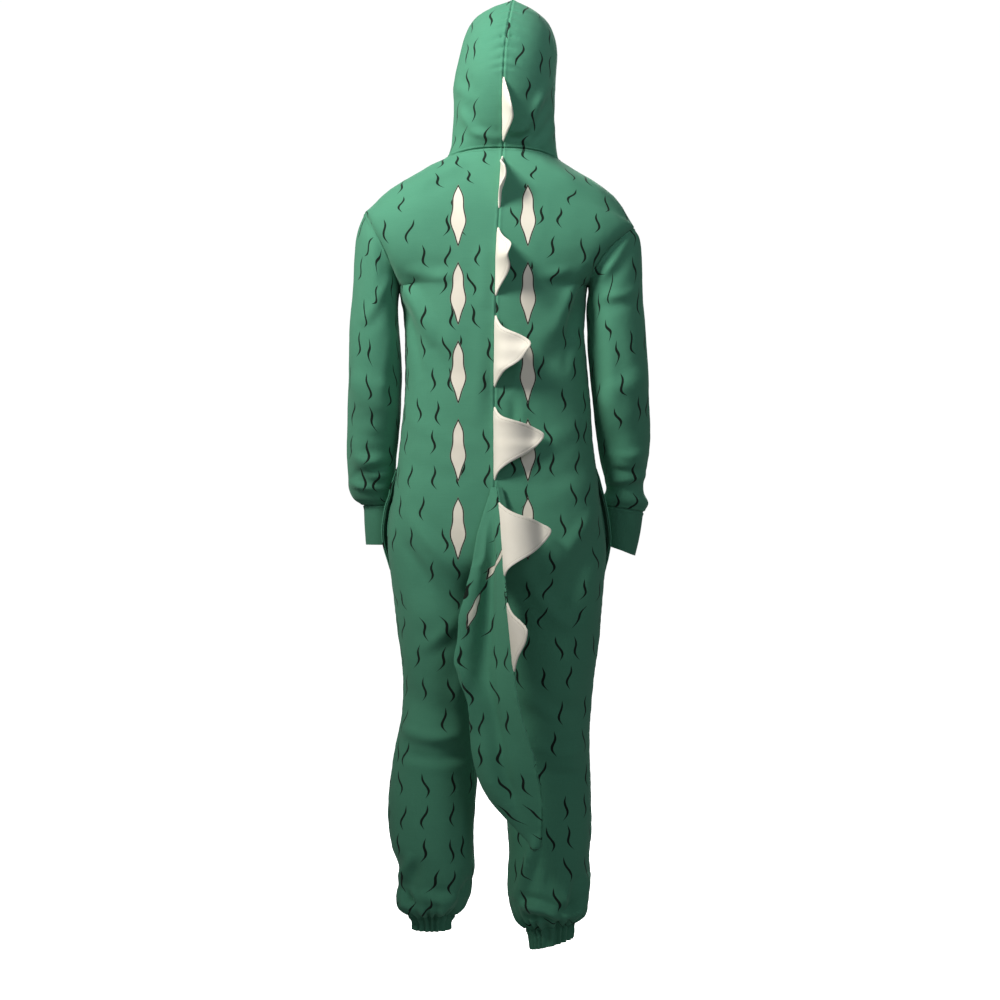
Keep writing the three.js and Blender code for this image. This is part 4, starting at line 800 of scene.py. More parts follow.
def brush_marks(tree, across, along):
    """Thin tapered strokes in staggered cells, each moved, tilted, turned or left out by chance."""
    cell_width, cell_height, half, bow, thick = 52.0, 60.0, 25.0, 5.5, 2.9
    row = maths(tree, "FLOOR", maths(tree, "DIVIDE", along, cell_height))
    shifted = maths(tree, "ADD", maths(tree, "DIVIDE", across, cell_width), maths(tree, "MULTIPLY", row, 0.5))
    column = maths(tree, "FLOOR", shifted)
    cell = add(tree, "ShaderNodeCombineXYZ", {0: column, 1: row})
    chance = add(tree, "ShaderNodeTexWhiteNoise", {0: cell.outputs[0]}, noise_dimensions="3D")
    random = add(tree, "ShaderNodeSeparateColor", {0: chance.outputs["Color"]})
    x = maths(tree, "SUBTRACT", maths(tree, "SUBTRACT", shifted, column), 0.5)
    x = maths(tree, "MULTIPLY", x, cell_width)
    y = maths(tree, "SUBTRACT", maths(tree, "SUBTRACT", along, maths(tree, "MULTIPLY", row, cell_height)),
              cell_height / 2)
    move = maths(tree, "MULTIPLY", maths(tree, "SUBTRACT", random.outputs[0], 0.5), 22.0)
    raise_by = maths(tree, "MULTIPLY", maths(tree, "SUBTRACT", random.outputs[1], 0.5), 10.0)
    x = maths(tree, "SUBTRACT", x, move)
    y = maths(tree, "SUBTRACT", y, raise_by)
    tilt = maths(tree, "MULTIPLY", maths(tree, "SUBTRACT", random.outputs[2], 0.5), 0.7)
    x = maths(tree, "ADD", x, maths(tree, "MULTIPLY", y, tilt))
    share = maths(tree, "DIVIDE", y, half)
    taper = maths(tree, "SUBTRACT", 1.0, maths(tree, "MULTIPLY", share, share))
    turn = maths(tree, "SIGN", maths(tree, "SUBTRACT", chance.outputs["Value"], 0.45))
    wave = maths(tree, "SINE", maths(tree, "MULTIPLY", share, 4.0))
    bent = maths(tree, "ADD", taper, maths(tree, "MULTIPLY", wave, 0.6))
    line = maths(tree, "MULTIPLY", maths(tree, "MULTIPLY", bent, turn), bow)
    away = maths(tree, "ABSOLUTE", maths(tree, "SUBTRACT", x, line))
    ink = maths(tree, "SUBTRACT", maths(tree, "MULTIPLY", taper, thick), away)
    second_chance = maths(tree, "FRACT", maths(tree, "MULTIPLY", chance.outputs["Value"], 7.0))
    kept = maths(tree, "GREATER_THAN", second_chance, 0.16)
    return maths(tree, "MULTIPLY", maths(tree, "MULTIPLY", ink, 1.9, clamp=True), kept)


def plates(tree, across, along, centre, spacing, first, count, half_width, half_length):
    """Pointed oval plates in a row down the cloth: (their fill, their outline) as masks."""
    number = maths(tree, "FLOOR", maths(tree, "DIVIDE", maths(tree, "SUBTRACT", along, first), spacing))
    start = maths(tree, "ADD", maths(tree, "MULTIPLY", number, spacing), first + spacing / 2)
    share = maths(tree, "DIVIDE", maths(tree, "SUBTRACT", along, start), half_length)
    inside = maths(tree, "SUBTRACT", 1.0, maths(tree, "MULTIPLY", share, share))
    wave = maths(tree, "MULTIPLY", maths(tree, "SINE", maths(tree, "MULTIPLY", share, 7.0)), 0.14)
    wide = maths(tree, "MULTIPLY", maths(tree, "MULTIPLY", inside, half_width), maths(tree, "ADD", wave, 1.0))
    away = maths(tree, "ABSOLUTE", maths(tree, "SUBTRACT", across, centre))
    depth = maths(tree, "SUBTRACT", wide, away)
    row = maths(tree, "MULTIPLY", maths(tree, "GREATER_THAN", number, -0.5),
                maths(tree, "LESS_THAN", number, count - 0.5))
    row = maths(tree, "MULTIPLY", row, maths(tree, "GREATER_THAN", inside, 0.0))
    fill = maths(tree, "MULTIPLY", maths(tree, "MULTIPLY", depth, 1.2, clamp=True), row)
    within = maths(tree, "MULTIPLY", maths(tree, "SUBTRACT", depth, PLATE_OUTLINE), 1.2, clamp=True)
    return fill, maths(tree, "MULTIPLY", fill, maths(tree, "SUBTRACT", 1.0, within))


KNIT = ("#3f8168", "#4f9276")         # the greens of the brushed knit, and of its deeper rib and lining
DEEP_KNIT = ("#37715a", "#44836a")
INK = "#0c1913"
PLATE_OUTLINE = 2.3       # width of the dark line round a plate, in mm
CREAM = "#ece8dc"
CREAM_SHADE = "#cfc9ba"
THREAD = "#3b7259"


def knit(name, marks=True, plate_rows=(), deep=False):
    """Brushed cotton and polyester fleece knit: a matt nap that lightens at a glancing angle, fine wales,
    faint level courses from the yarn, and a print that has soaked in."""
    material, tree, shader = new_material(name, **{
        "Roughness": 0.86, "Specular IOR Level": 0.22, "Sheen Weight": 0.28, "Sheen Roughness": 0.45})
    shader.inputs["Sheen Tint"].default_value = colour("#a9d6c0")
    across, along = in_mm(tree, "cloth")
    place = add(tree, "ShaderNodeTexCoord").outputs["Object"]
    patchy = add(tree, "ShaderNodeTexNoise", {"Vector": place, "Scale": 6.0, "Detail": 3.0}).outputs[0]
    base = mix_colour(tree, patchy, *[colour(code) for code in (DEEP_KNIT if deep else KNIT)])
    stretched = add(tree, "ShaderNodeCombineXYZ", {0: maths(tree, "DIVIDE", across, 38.0),
                                                   1: maths(tree, "DIVIDE", along, 1.6)})
    courses = add(tree, "ShaderNodeTexNoise", {"Vector": stretched.outputs[0], "Scale": 1.0,
                                               "Detail": 2.0}).outputs[0]
    base = mix_colour(tree, maths(tree, "MULTIPLY", courses, 0.24), base, colour("#2b5e49"))
    grain = add(tree, "ShaderNodeTexNoise", {"Vector": place, "Scale": 900.0, "Detail": 2.0}).outputs[0]
    base = mix_colour(tree, maths(tree, "MULTIPLY", grain, 0.2), base, colour("#6fae92"))
    if marks:
        base = mix_colour(tree, brush_marks(tree, across, along), base, colour(INK))
    for row in plate_rows:
        fill, outline = plates(tree, *row(tree))
        inner = mix_colour(tree, maths(tree, "MULTIPLY", patchy, 0.8), colour(CREAM), colour(CREAM_SHADE))
        base = mix_colour(tree, fill, base, inner)
        base = mix_colour(tree, outline, base, colour(INK))
    thread = stitches(tree)
    base = mix_colour(tree, maths(tree, "MULTIPLY", thread, 0.8), base, colour(THREAD))
    # Real wales are about 1 mm apart; they are drawn 2.2 mm apart so that they show.
    wale = maths(tree, "SINE", maths(tree, "MULTIPLY", across, 2 * math.pi / 2.2))
    course = maths(tree, "SINE", maths(tree, "ADD", maths(tree, "MULTIPLY", along, 2 * math.pi / 1.7), wale))
    loops = maths(tree, "ADD", maths(tree, "MULTIPLY", wale, 0.5), maths(tree, "MULTIPLY", course, 0.3))
    nap = maths(tree, "ADD", maths(tree, "MULTIPLY", loops, 0.16), grain)
    relief = maths(tree, "ADD", nap, maths(tree, "MULTIPLY", thread, 1.2))
    bump = add(tree, "ShaderNodeBump", {"Height": relief, "Strength": 0.35, "Distance": 0.0006})
    tree.links.new(base, shader.inputs["Base Color"])
    tree.links.new(bump.outputs[0], shader.inputs["Normal"])
    return material


def on_back(centre):
    """A row of plates down the back, placed by the garment's own width and height."""
    def row(tree):
        place = add(tree, "ShaderNodeTexCoord").outputs["Object"]
        scaled = add(tree, "ShaderNodeVectorMath", {0: place, 1: (1000, 1000, 1000)}, operation="MULTIPLY")
        parts = add(tree, "ShaderNodeSeparateXYZ", {0: scaled.outputs[0]})
        down = maths(tree, "MULTIPLY", parts.outputs[2], -1.0)
        return parts.outputs[0], down, centre, 146.0, 32.0, 5, 14.5, 60.0
    return row


def on_tail(tree):
    across, along = in_mm(tree, "cloth")
    return across, along, 92.0, 92.0, 10.0, 3, 9.0, 36.0


def felt():
    """Brushed polyester over thin foam: matt and pale, with a soft fibre bump and dull stitches."""
    material, tree, shader = new_material("cream brushed polyester", **{
        "Roughness": 0.9, "Specular IOR Level": 0.2, "Sheen Weight": 0.25, "Sheen Roughness": 0.5})
    place = add(tree, "ShaderNodeTexCoord").outputs["Object"]
    patchy = add(tree, "ShaderNodeTexNoise", {"Vector": place, "Scale": 22.0, "Detail": 3.0}).outputs[0]
    base = mix_colour(tree, patchy, colour("#e3dfd2"), colour("#f3f0e7"))
    fibre = add(tree, "ShaderNodeTexNoise", {"Vector": place, "Scale": 1100.0, "Detail": 3.0}).outputs[0]
    base = mix_colour(tree, maths(tree, "MULTIPLY", fibre, 0.25), base, colour("#c9c3b3"))
    base = mix_colour(tree, maths(tree, "MULTIPLY", stitches(tree), 0.7), base, colour("#b9b3a3"))
    bump = add(tree, "ShaderNodeBump", {"Height": fibre, "Strength": 0.3, "Distance": 0.0006})
    tree.links.new(base, shader.inputs["Base Color"])
    tree.links.new(bump.outputs[0], shader.inputs["Normal"])
    return material


def woven_tape():
    """Woven polyester zip tape: a fine herringbone, a little smoother than the knit."""
    material, tree, shader = new_material("woven polyester tape", **{"Roughness": 0.7, "Sheen Weight": 0.1})
    across, along = in_mm(tree, "cloth")
    slant = maths(tree, "ADD", along, maths(tree, "PINGPONG", across, 4.0))
    ribs = maths(tree, "SINE", maths(tree, "MULTIPLY", slant, 2 * math.pi / 1.2))
    base = mix_colour(tree, maths(tree, "MULTIPLY_ADD", ribs, 0.3, 0.5), colour("#24493a"), colour("#34664f"))
    bump = add(tree, "ShaderNodeBump", {"Height": ribs, "Strength": 0.5, "Distance": 0.0002})
    tree.links.new(base, shader.inputs["Base Color"])
    tree.links.new(bump.outputs[0], shader.inputs["Normal"])
    return material


def plated_zinc():
    """Die-cast zinc, nickel plated and satin: broad soft highlights with fine handling marks."""
    material, tree, shader = new_material("nickel plated zinc", **{"Metallic": 1.0})
    place = add(tree, "ShaderNodeTexCoord").outputs["Object"]
    fine = add(tree, "ShaderNodeTexNoise", {"Vector": place, "Scale": 700.0, "Detail": 4.0}).outputs[0]
    tree.links.new(mix_colour(tree, fine, colour("#7d7e7c"), colour("#949592")), shader.inputs["Base Color"])
    tree.links.new(maths(tree, "MULTIPLY_ADD", fine, 0.2, 0.42), shader.inputs["Roughness"])
    return material


def moulded_teeth():
    """Moulded polyacetal teeth: a dull plastic with a faint shine on their tops."""
    material, tree, shader = new_material("moulded polyacetal", **{"Roughness": 0.45})
    place = add(tree, "ShaderNodeTexCoord").outputs["Object"]
    fine = add(tree, "ShaderNodeTexNoise", {"Vector": place, "Scale": 300.0}).outputs[0]
    tree.links.new(mix_colour(tree, fine, colour("#2c5a46"), colour("#3a7059")), shader.inputs["Base Color"])
    return material


# ---------------------------------------------------------------- pieces made from a panel's points
def ankle_piece(side, top):
    """An elastic casing, gathered from the ring of points above it."""
    columns = len(top) - 1
    rings = rows_along(ANKLES[side], fine_rows(CUFF_STEPS, 9) / CUFF_STEPS)
    angle = np.linspace(0, 2 * math.pi, columns + 1)
    start = ring_point(as_columns({k: v[:1] for k, v in rings.items()}), angle, side)[0]
    grid = ring_point(as_columns(rings), angle, side)
    fade = np.linspace(1, 0, len(grid))[:, None, None] ** 2
    grid = grid + (top - start)[None] * fade
    around = across_rows(grid)
    return {"grid": grid, "u": around, "width": around[:, -1:], "v": down_rows(grid), "closed": True}


def gather_waves(angle, count, seed):
    """Uneven waves round a ring, from 0 to 1."""
    phase = count * angle + 1.3 * np.sin(3 * angle + seed) + 0.9 * np.sin(7 * angle + 2 * seed)
    return 0.5 - 0.5 * np.cos(phase)


def ankle_waves(grid, side):
    """The gathers' waves at the points of a grid, by their angle round the leg's lower end."""
    ring = LEGS[side]
    middle_x, middle_y = (ring["outX"][-1] + ring["inX"][-1]) / 2, ring["y"][-1]
    angle = np.arctan2(grid[..., 1] - middle_y, grid[..., 0] - middle_x)
    return gather_waves(angle, GATHERS, SIDE_SIGN[side])

def gather_leg(pieces, side):
    """Gathers that run up from the ankle casing and fade on the leg."""
    for face in ("back", "front"):
        piece = pieces[f"{face}_{side}"]
        below = edge_distances(piece)["bottom"]
        depth = LEG_GATHERS * GATHER_DEPTH * bell(below / 36) * smooth((below + 3) / 6)
        piece["lift"] = depth * (ankle_waves(piece["grid"], side) - 0.5)

def gather_ankle(piece, side):
    """The casing's own gathers."""
    depth = GATHER_DEPTH * (0.7 + 0.3 * np.abs(np.cos(piece["v"] / 9)))
    height = depth * (ankle_waves(piece["grid"], side) - 0.5) * smooth(piece["v"] / 6)
    piece["grid"] = piece["grid"] + piece["normal"] * height[..., None]


def pocket_piece(front, back):
    """A pocket bag: a layer to the side seam, a turn, and a layer behind the front panel."""
    near = CLOTH + LAY_GAP + 1.0
    far = near + 2 * BAG_CLOTH + POCKET_FULLNESS
    z = front["grid"][:, -1, 2]
    keep = (z < POCKET_TOP_Z) & (z > POCKET_BOTTOM_Z)
    first = front["grid"].shape[1] // 2
    layer, normal = front["grid"][keep][:, first:], front["normal"][keep][:, first:]
    deep = layer - normal * far
    edge = back["grid"][keep][:, -1:] - back["normal"][keep][:, -1:] * (near + 2 * BAG_CLOTH + SIDE_SLACK)
    turn = (layer[:, :1] - normal[:, :1] * (near + far) / 2
            + (layer[:, :1] - layer[:, 1:2]) * 1.2)
    grid = np.concatenate([edge, deep[:, ::-1][:, 4:], turn, layer - normal * near], axis=1)
    normals = np.concatenate([-back["normal"][keep][:, -1:], -normal[:, ::-1][:, 4:],
                              layer[:, :1] - layer[:, 1:2], normal], axis=1)
    normals /= np.linalg.norm(normals, axis=2, keepdims=True)
    across = across_rows(grid)
    return {"grid": grid, "normal": normals, "u": across, "width": across[:, -1:],
            "v": down_rows(grid), "closed": False}


def zip_line(pieces):
    """The middle of the zip and its way out, from the neck down."""
    left, right = pieces["front_left"], pieces["front_right"]
    keep = left["grid"][:, 0, 2] > ZIP_END_Z
    out = left["normal"][keep][:, 0] + right["normal"][keep][:, 0]
    return ((left["grid"][keep][:, 0] + right["grid"][keep][:, 0]) / 2,
            out / np.linalg.norm(out, axis=1, keepdims=True))


def tape_piece(front, middle, out):
    """A zip tape under a front edge, from the middle of the slot to its lap."""
    keep = front["grid"][:, 0, 2] > ZIP_END_Z
    edge, edge_normal = front["grid"][keep][:, 0], front["normal"][keep][:, 0]
    inside = front["grid"][keep][:, len(SEAM_STEPS)]
    along = (inside - edge) / np.linalg.norm(inside - edge, axis=1, keepdims=True)
    lapped = front["normal"][keep][:, len(SEAM_STEPS)]
    columns, normals = [], []
    for t in np.linspace(0.06, 1, 6):
        columns.append(middle * (1 - t) + edge * t)
        normals.append(out)
    for t in np.linspace(0.25, 1, 4):
        columns.append(edge + along * TAPE_LAP * t)
        normals.append(edge_normal * (1 - t) + lapped * t)
    normal = np.stack(normals, axis=1)
    normal /= np.linalg.norm(normal, axis=2, keepdims=True)
    grid = np.stack(columns, axis=1) - normal * (CLOTH + TAPE_GAP)
    across = across_rows(grid)
    return {"grid": grid, "normal": normal, "u": across, "width": across[:, -1:],
            "v": down_rows(grid), "closed": False}


def teeth_object(name, sign, middle, out):
    """A row of moulded teeth that stand on the tape beside the middle of the zip."""
    gaps = np.linalg.norm(np.diff(middle, axis=0), axis=1)
    along = np.concatenate([[0], np.cumsum(gaps)])
    at = np.arange(TOOTH_PITCH * (1.5 if sign < 0 else 1), along[-1] - 8, TOOTH_PITCH)
    place = np.stack([np.interp(at, along, middle[:, k]) for k in range(3)], axis=1)
    way = np.stack([np.interp(at, along, out[:, k]) for k in range(3)], axis=1)
    down = np.gradient(place, axis=0)
    down /= np.linalg.norm(down, axis=1, keepdims=True)
    side = np.cross(way, down)
    side *= np.sign(side[:, :1]) * sign
    tooth = one_tooth()
    copies = []
    for p, w, d, s in zip(place, way, down, side):
        copy = tooth.copy()
        copy.data = tooth.data.copy()
        low = (p - w * (CLOTH + TAPE_GAP + 0.1)) * MM
        axes = np.stack([s, d, w], axis=1)
        copy.data.transform(Matrix([(*row, shift) for row, shift in zip(axes, low)]).to_4x4())
        if np.linalg.det(axes) < 0:
            copy.data.flip_normals()
        bpy.context.scene.collection.objects.link(copy)
        copies.append(copy)
    bpy.data.objects.remove(tooth)
    bpy.ops.object.select_all(action="DESELECT")
    for copy in copies:
        copy.select_set(True)
    bpy.context.view_layer.objects.active = copies[0]
    bpy.ops.object.join()
    made = bpy.context.view_layer.objects.active
    made.name = made.data.name = name
    bpy.ops.object.shade_smooth_by_angle(angle=math.radians(30))
    made.select_set(False)
    return made


def one_tooth():
    """A moulded tooth that points along X and stands up Z: a block, widened at its tip and crowned."""
    bpy.ops.object.select_all(action="DESELECT")
    bpy.ops.mesh.primitive_cube_add(size=1, location=(0, 0, 0))
    tooth = bpy.context.object
    tooth.data.transform(Matrix.Diagonal((3.1 * MM, 1.2 * MM, 1.2 * MM, 1)))
    tooth.data.transform(Matrix.Translation((1.05 * MM, 0, 0.6 * MM)))
    bpy.ops.object.mode_set(mode="EDIT")
    pick_faces(tooth, lambda face: face.normal.x > 0.9)
    bpy.ops.transform.resize(value=(1, 1.3, 1))
    pick_faces(tooth, lambda face: face.normal.z > 0.9)
    bpy.ops.mesh.extrude_region_move(TRANSFORM_OT_translate={"value": (0, 0, 0.5 * MM)})
    bpy.ops.transform.resize(value=(0.72, 0.72, 1))
    bpy.ops.object.mode_set(mode="OBJECT")
    return tooth


def pick_faces(made, wanted):
    """Selects the faces that are wanted, and no others, in edit mode."""
    bpy.ops.mesh.select_mode(type="FACE")
    bpy.ops.mesh.select_all(action="DESELECT")
    mesh = bmesh.from_edit_mesh(made.data)
    for face in mesh.faces:
        face.select_set(wanted(face))
    bmesh.update_edit_mesh(made.data)


# ---------------------------------------------------------------- spikes
def seam_line(points, normals):
    """A seam's points and ways out, in order of height and evened out along it."""
    order = np.argsort(points[:, 2])
    z = points[order, 2]
    weight = bell((z[:, None] - z[None]) / 14)
    weight /= weight.sum(axis=1, keepdims=True)
    return weight @ points[order], weight @ normals[order]


def spike_object(name, seam, spike):
    """A rounded triangle of foam, sewn round its rim and bent towards its lean as it rises."""
    _, top, bottom, height, lean = spike
    length = top - bottom
    outline = centripetal([np.array([[x * length, y * height]]) for x, y in (
        (1, 0), (0.86, 0.3), (0.72, 0.78), (0.62, 1), (0.48, 0.88), (0.2, 0.34), (0, 0))], 900)[0]
    peak = outline[:, 1].argmax()
    up, down = outline[:peak + 1], outline[peak:][::-1]
    tall = outline[:, 1].max()
    steps = np.concatenate([RIM_STEPS, np.linspace(9, tall - 6, 26), tall - np.array(PEAK_STEPS)])
    left, right = np.interp(steps, down[:, 1], down[:, 0]), np.interp(steps, up[:, 1], up[:, 0])
    edge = np.array(RIM_STEPS)
    rows = []
    for low, high in zip(left, right):
        squeeze = min(1, (high - low) / (3 * edge[-1]))
        inner = np.linspace(low + 9 * squeeze, high - 9 * squeeze, 30)
        rows.append(np.concatenate([low + edge * squeeze, inner, high - edge[::-1] * squeeze]))
    along = np.array(rows)
    rise = np.repeat(steps[:, None], along.shape[1], axis=1)
    rim = np.hypot(along[..., None] - outline[:, 0], rise[..., None] - outline[:, 1]).min(axis=-1)
    round_off = np.sqrt(np.clip(1 - (1 - np.minimum(rim / SPIKE_RIM, 1)) ** 2, 0, 1))
    thick = SPIKE_THICK / 2 * round_off - 0.55 * bell((rim - SPIKE_STITCH) / 0.9)
    thick += 0.3 * soft_noise(np.stack([along, rise, 0 * rise + 40 * lean], axis=-1), 17, 5) * round_off
    thick = np.maximum(thick, 0.0) + 0.25
    points, normals = seam
    z = bottom + along
    foot = np.stack([np.interp(z, points[:, 2], points[:, k]) for k in range(3)], axis=-1)
    way = np.stack([np.interp(z, points[:, 2], normals[:, k]) for k in range(3)], axis=-1)
    way /= np.linalg.norm(way, axis=-1, keepdims=True)
    bend = (lean * smooth(rise / height * 1.2))[..., None]
    flat = np.array([1.0, 0, 0]) - way * way[..., :1]
    flat /= np.linalg.norm(flat, axis=-1, keepdims=True)
    out = way * np.cos(bend) + flat * np.sin(bend)
    across = flat * np.cos(bend) - way * np.sin(bend)
    sheet = foot + way * ROOT_LIFT + out * rise[..., None]
    vertices = np.concatenate([(sheet + across * thick[..., None]).reshape(-1, 3),
                               (sheet - across * thick[..., None]).reshape(-1, 3)])
    faces, rims = wall_faces(*along.shape)
    faces = wound_outwards(vertices, np.concatenate(faces + rims))
    cloth = np.stack([along, rise], axis=-1).reshape(-1, 2)
    stitch = np.stack([rim - SPIKE_STITCH, along + rise], axis=-1).reshape(-1, 2)
    made = mesh_object(name, vertices, faces, {"cloth": cloth, "seam": stitch})
    finish_mesh(made, 60)
    return made


# ---------------------------------------------------------------- the garment
def back_face_finder(pieces):
    """Gives the depth of the back's outer face at a place."""
    vertices, faces = [], []
    for side in ("left", "right"):
        grid = pieces[f"back_{side}"]["grid"]
        rows, columns = grid.shape[:2]
        index = np.arange(rows * columns).reshape(rows, columns) + len(vertices)
        vertices += grid.reshape(-1, 3).tolist()
        faces += np.stack([index[:-1, :-1], index[1:, :-1], index[1:, 1:], index[:-1, 1:]],
                          axis=-1).reshape(-1, 4).tolist()
    tree = BVHTree.FromPolygons(vertices, faces)
    return lambda x, z: tree.ray_cast(Vector((x, -400, z)), Vector((0, 1, 0)))[0][1]


def garment_pieces():
    pieces = {}
    for side in ("left", "right"):
        for face in ("back", "front"):
            pieces[f"{face}_{side}"] = body_piece(side, face)
        pieces[f"sleeve_{side}"] = ring_piece(
            SLEEVES[side], side, fine_rows(SLEEVE_STEPS, 11, first_mm=45, last_mm=14) / SLEEVE_STEPS, AROUND)
        pieces[f"cuff_{side}"] = ring_piece(
            CUFFS[side], side, fine_rows(CUFF_STEPS, 9, first_mm=39, last_mm=39) / CUFF_STEPS, AROUND)
        back_top, front_top = pieces[f"back_{side}"]["grid"][0], pieces[f"front_{side}"]["grid"][0]
        pieces[f"hood_{side}"] = hood_piece(side, np.concatenate([back_top, front_top[-2::-1]]))
    set_normals(pieces)
    for piece in pieces.values():
        piece["grid"] = piece["grid"] + piece["normal"] * fold_height(piece["grid"])[..., None]
    find = back_face_finder(pieces)
    for side in ("left", "right"):
        pieces[f"tail_{side}"] = tail_piece(side, find)
        gather_leg(pieces, side)
    set_normals(pieces)
    return pieces


def crown_puckers(piece):
    """Short level creases beside the seam over the head, where it was eased in."""
    x, z = piece["u"], piece["grid"][..., 2]
    waves = np.abs(np.sin((z + 0.25 * x) / 5.6 + 0.9 * np.sin(z / 23))) ** 0.6
    reach = bell((x - 4) / 21) * smooth((z - 150) / 30) * smooth((296 - z) / 20)
    return PUCKER_HEIGHT * (waves - 0.6) * reach * (1 + 0.35 * np.sin(z / 11))


def zip_puckers(piece):
    x, z = piece["u"], piece["grid"][..., 2]
    waves = np.sin(z / 5.3 + 1.1 * np.sin(z / 31))
    return 0.7 * waves * bell(x / 14) * smooth((z - ZIP_END_Z) / 20)


def tail_valley(piece):
    """The long fold down the tail's left half, with a soft ridge on the side of its free edge."""
    share = piece["u"] / piece["width"]
    fall = smooth((-655 - piece["grid"][..., 2]) / 90) * smooth((piece["grid"][..., 2] + 1240) / 90)
    return TAIL_VALLEY * fall * (0.8 * bell((share - 0.5) / 0.1) - bell((share - 0.66) / 0.07))


def cuff_puckers(piece, edge):
    angle = np.arctan2(piece["grid"][..., 1] - piece["grid"][..., 1].mean(axis=1, keepdims=True),
                       piece["grid"][..., 0] - piece["grid"][..., 0].mean(axis=1, keepdims=True))
    return 1.5 * (gather_waves(angle, CUFF_PUCKERS, 1.0) - 0.5) * bell(edge_distances(piece)[edge] / 14)


def dress_side(pieces, side):
    """Dresses the pieces of one side and adds its ankle casing, which hangs from the dressed leg."""
    back, front, sleeve, hood, cuff, tail = [
        pieces[f"{kind}_{side}"] for kind in ("back", "front", "sleeve", "hood", "cuff", "tail")]
    dress(back, {"start": "plain", "end": "plain", "top": "stitched"}, back["lift"])
    dress(front, {"start": "hem", "end": "mouth", "top": "stitched"}, front["lift"] + zip_puckers(front))
    dress(sleeve, {"top": "plain", "bottom": "plain"}, cuff_puckers(sleeve, "bottom"))
    dress(hood, {"start": "plain", "end": "hem", "top": "stitched", "bottom": "plain"}, crown_puckers(hood))
    dress(cuff, {"top": "plain"}, 0.5 * cuff_puckers(cuff, "top"))
    dress(tail, {"end": "plain", "start": "plain"}, tail_valley(tail) if side == "left" else 0)
    hem = np.concatenate([back["grid"][-1, ::-1], front["grid"][-1, 1:]])
    pieces[f"ankle_{side}"] = ankle_piece(side, hem)

pieces = garment_pieces()
for side in SIDE_SIGN:
    dress_side(pieces, side)
set_normals({name: piece for name, piece in pieces.items() if not name.startswith("tail")})
for side in SIDE_SIGN:
    gather_ankle(pieces[f"ankle_{side}"], side)
set_normals(pieces)

MATERIALS = {
    "green": knit("brushed green knit with printed strokes"),
    "back_left": knit("brushed green knit, left back with plates", plate_rows=[on_back(-78.0)]),
    "back_right": knit("brushed green knit, right back with plates", plate_rows=[on_back(52.0)]),
    "tail_left": knit("brushed green knit, tail with plates", plate_rows=[on_tail]),
    "rib": knit("folded green knit", marks=False, deep=True),
    "lining": knit("thin green jersey lining", marks=False, deep=True),
    "felt": felt(),
    "tape": woven_tape(),
    "metal": plated_zinc(),
    "teeth": moulded_teeth(),
}

# What each kind of piece is called, its thickness, the solids it stands for and its slot.
KINDS = {
    "back": ("back_panel", CLOTH, ("back", "lower_back", "leg_back"), "green_knit"),
    "front": ("front_panel", CLOTH, ("front", "lower_front", "leg_front"), "green_knit"),
    "sleeve": ("sleeve_cloth", CLOTH, ("sleeve", "elbow_sleeve", "forearm_sleeve", "lower_sleeve"),
               "green_knit"),
    "cuff": ("cuff_band", CUFF_CLOTH, ("cuff",), "green_rib"),
    "hood": ("hood_half", CLOTH, ("hood",), "green_knit"),
    "tail": ("tail_half", CLOTH, ("tail",), "green_knit"),
    "ankle": ("ankle_band", CLOTH, ("ankle_casing",), "green_rib"),
    "pocket": ("pocket_cloth", BAG_CLOTH, ("pocket_bag",), "pocket_lining"),
    "tape": ("zip_band", TAPE_CLOTH, ("zip_tape",), "zip_tape"),
}
WEARS = {"cuff": "rib", "ankle": "rib", "tape": "tape", "pocket": "lining"}   # the rest is green knit

middle, out = zip_line(pieces)
for side in ("left", "right"):
    front = pieces[f"front_{side}"]
    pieces[f"pocket_{side}"] = pocket_piece(front, pieces[f"back_{side}"])
    pieces[f"tape_{side}"] = tape_piece(front, middle, out)

for name, piece in pieces.items():
    kind, side = name.split("_")
    title, thickness, solids, slot = KINDS[kind]
    made = wall_object(f"{title}_{side}", piece, thickness)
    made.data.materials.append(MATERIALS.get(name) or MATERIALS[WEARS.get(kind, "green")])
    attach(made, "garment")
    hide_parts(*[f"{solid}_{side}" for solid in solids])

tail_grid = pieces["tail_left"]["grid"]
ridge_out = tail_grid[:, -1] - tail_grid[:, 0]
ridge_out[:, 2] = 0
ridge_out /= np.linalg.norm(ridge_out, axis=1, keepdims=True)
LINES = {name: seam_line(pieces[f"{name}_left"]["grid"][:, 0], pieces[f"{name}_left"]["normal"][:, 0])
         for name in ("back", "hood")}
LINES["tail"] = seam_line(tail_grid[:, -1], ridge_out)
for number, spike in enumerate(SPIKES, start=1):
    made = spike_object(f"spike_plate_{number}", LINES[spike[0]], spike)
    made.data.materials.append(MATERIALS["felt"])
    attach(made, "garment")
    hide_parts(f"spike_{number}")

for side, sign in SIDE_SIGN.items():
    made = teeth_object(f"zip_teeth_{side}", sign, middle, out)
    made.data.materials.append(MATERIALS["teeth"])
    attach(made, "garment")

for node in ("zip_slider", "zip_pull"):
    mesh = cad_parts[node].data
    mesh.materials.clear()
    mesh.materials.append(MATERIALS["metal"])

# ---------------------------------------------------------------- floor, light and camera
FLOOR_Z = -1.577
VIEW_Z = -0.636            # the middle of the picture
VIEW_WIDTH = 1.9           # of the picture, at the garment
CAMERA_FAR = 6.0
SENSOR = 36.0
BACKDROP = 1.02            # the backdrop's brightness to the eye, and below it as light on the garment
WORLD_LIGHT = 0.15
FLOOR_GLOW = 1.0


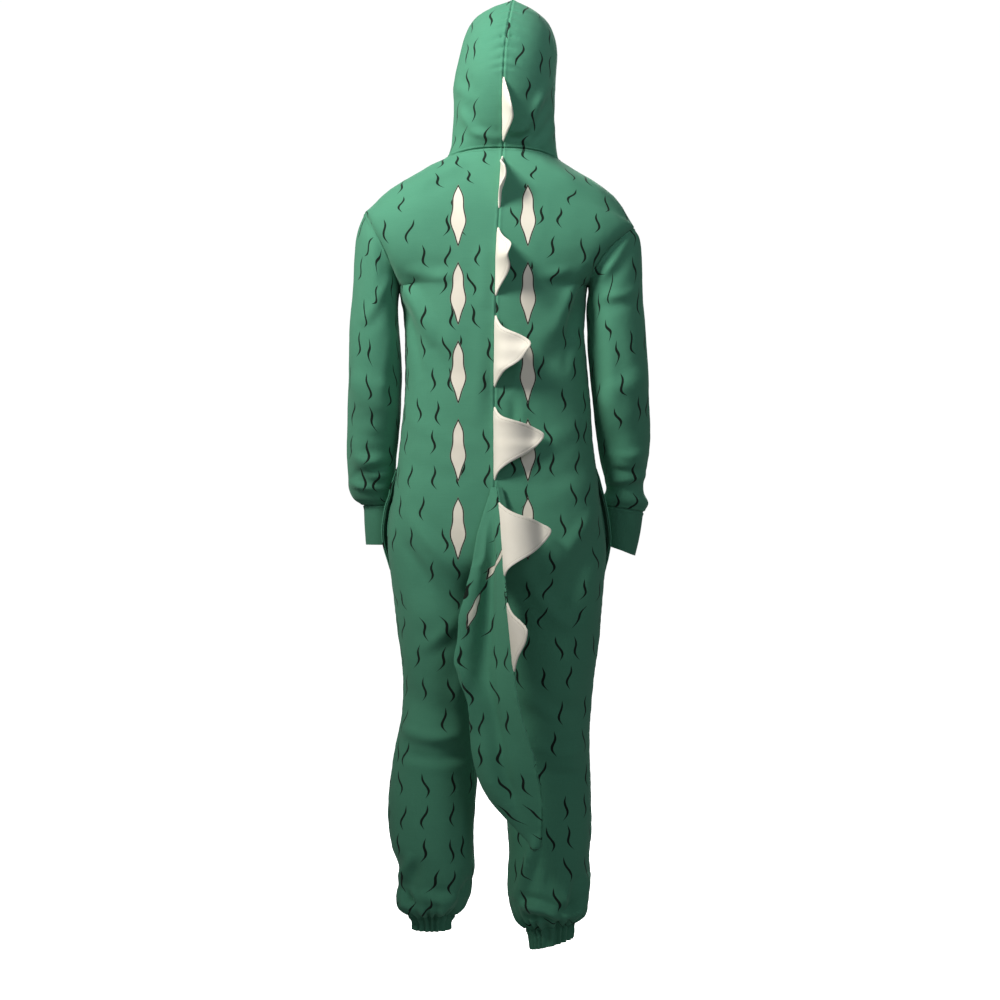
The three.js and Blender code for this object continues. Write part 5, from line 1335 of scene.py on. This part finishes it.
def floor():
    bpy.ops.object.select_all(action="DESELECT")
    bpy.ops.mesh.primitive_plane_add(size=40, location=(0, 0, FLOOR_Z))
    made = bpy.context.object
    made.name = "floor"
    material, tree, shader = new_material("white floor", **{"Roughness": 0.95, "Specular IOR Level": 0.1})
    shader.inputs["Base Color"].default_value = colour("#fafafa")
    shader.inputs["Emission Color"].default_value = (1, 1, 1, 1)
    shader.inputs["Emission Strength"].default_value = FLOOR_GLOW
    made.data.materials.append(material)
    # Its glow is for the eye alone: it would light the garment from below.
    made.visible_diffuse = made.visible_glossy = made.visible_shadow = False


def soft_light(name, place, aim, size, power, tint, beam=None):
    """A round soft box, or a lamp with a soft beam of so many degrees."""
    light = bpy.data.lights.new(name, "SPOT" if beam else "AREA")
    if beam:
        light.shadow_soft_size = size / 2
        light.spot_size = math.radians(beam)
        light.spot_blend = 1.0
    else:
        light.shape = "DISK"
        light.size = size
    light.energy = power
    light.color = colour(tint)[:3]
    lamp = bpy.data.objects.new(name, light)
    lamp.location = place
    lamp.rotation_euler = (Vector(aim) - Vector(place)).to_track_quat("-Z", "Y").to_euler()
    bpy.context.scene.collection.objects.link(lamp)


def white_studio():
    """An even white backdrop that lights the garment only softly."""
    world = bpy.data.worlds.new("white studio")
    world.use_nodes = True
    tree = world.node_tree
    seen = add(tree, "ShaderNodeLightPath").outputs["Is Camera Ray"]
    background = tree.nodes["Background"]
    background.inputs["Color"].default_value = (1, 1, 1, 1)
    strength = maths(tree, "MULTIPLY_ADD", seen, BACKDROP - WORLD_LIGHT, WORLD_LIGHT)
    tree.links.new(strength, background.inputs["Strength"])
    bpy.context.scene.world = world
    bpy.context.scene.view_settings.view_transform = "Standard"


floor()
white_studio()
soft_light("key light", (-1.75, -1.6, 1.5), (0, 0, 0.3), 1.0, 540, "#fffaf2", beam=58)
soft_light("fill light", (1.6, -4.2, 0.9), (0, 0, -0.5), 2.0, 24, "#f2f7ff")
soft_light("hood light", (0.9, -2.0, 1.9), (0, 0, 0.3), 0.8, 90, "#f2f7ff", beam=26)
soft_light("front light", (0.4, 3.6, 1.4), (0, 0, -0.5), 1.8, 130, "#ffffff")

camera_data = bpy.data.cameras.new("camera")
camera_data.sensor_width = SENSOR
camera_data.lens = SENSOR * CAMERA_FAR / VIEW_WIDTH
camera = bpy.data.objects.new("camera", camera_data)
camera.location = (0, -CAMERA_FAR, VIEW_Z)
camera.rotation_euler = (math.pi / 2, 0, 0)
bpy.context.scene.collection.objects.link(camera)
bpy.context.scene.camera = camera
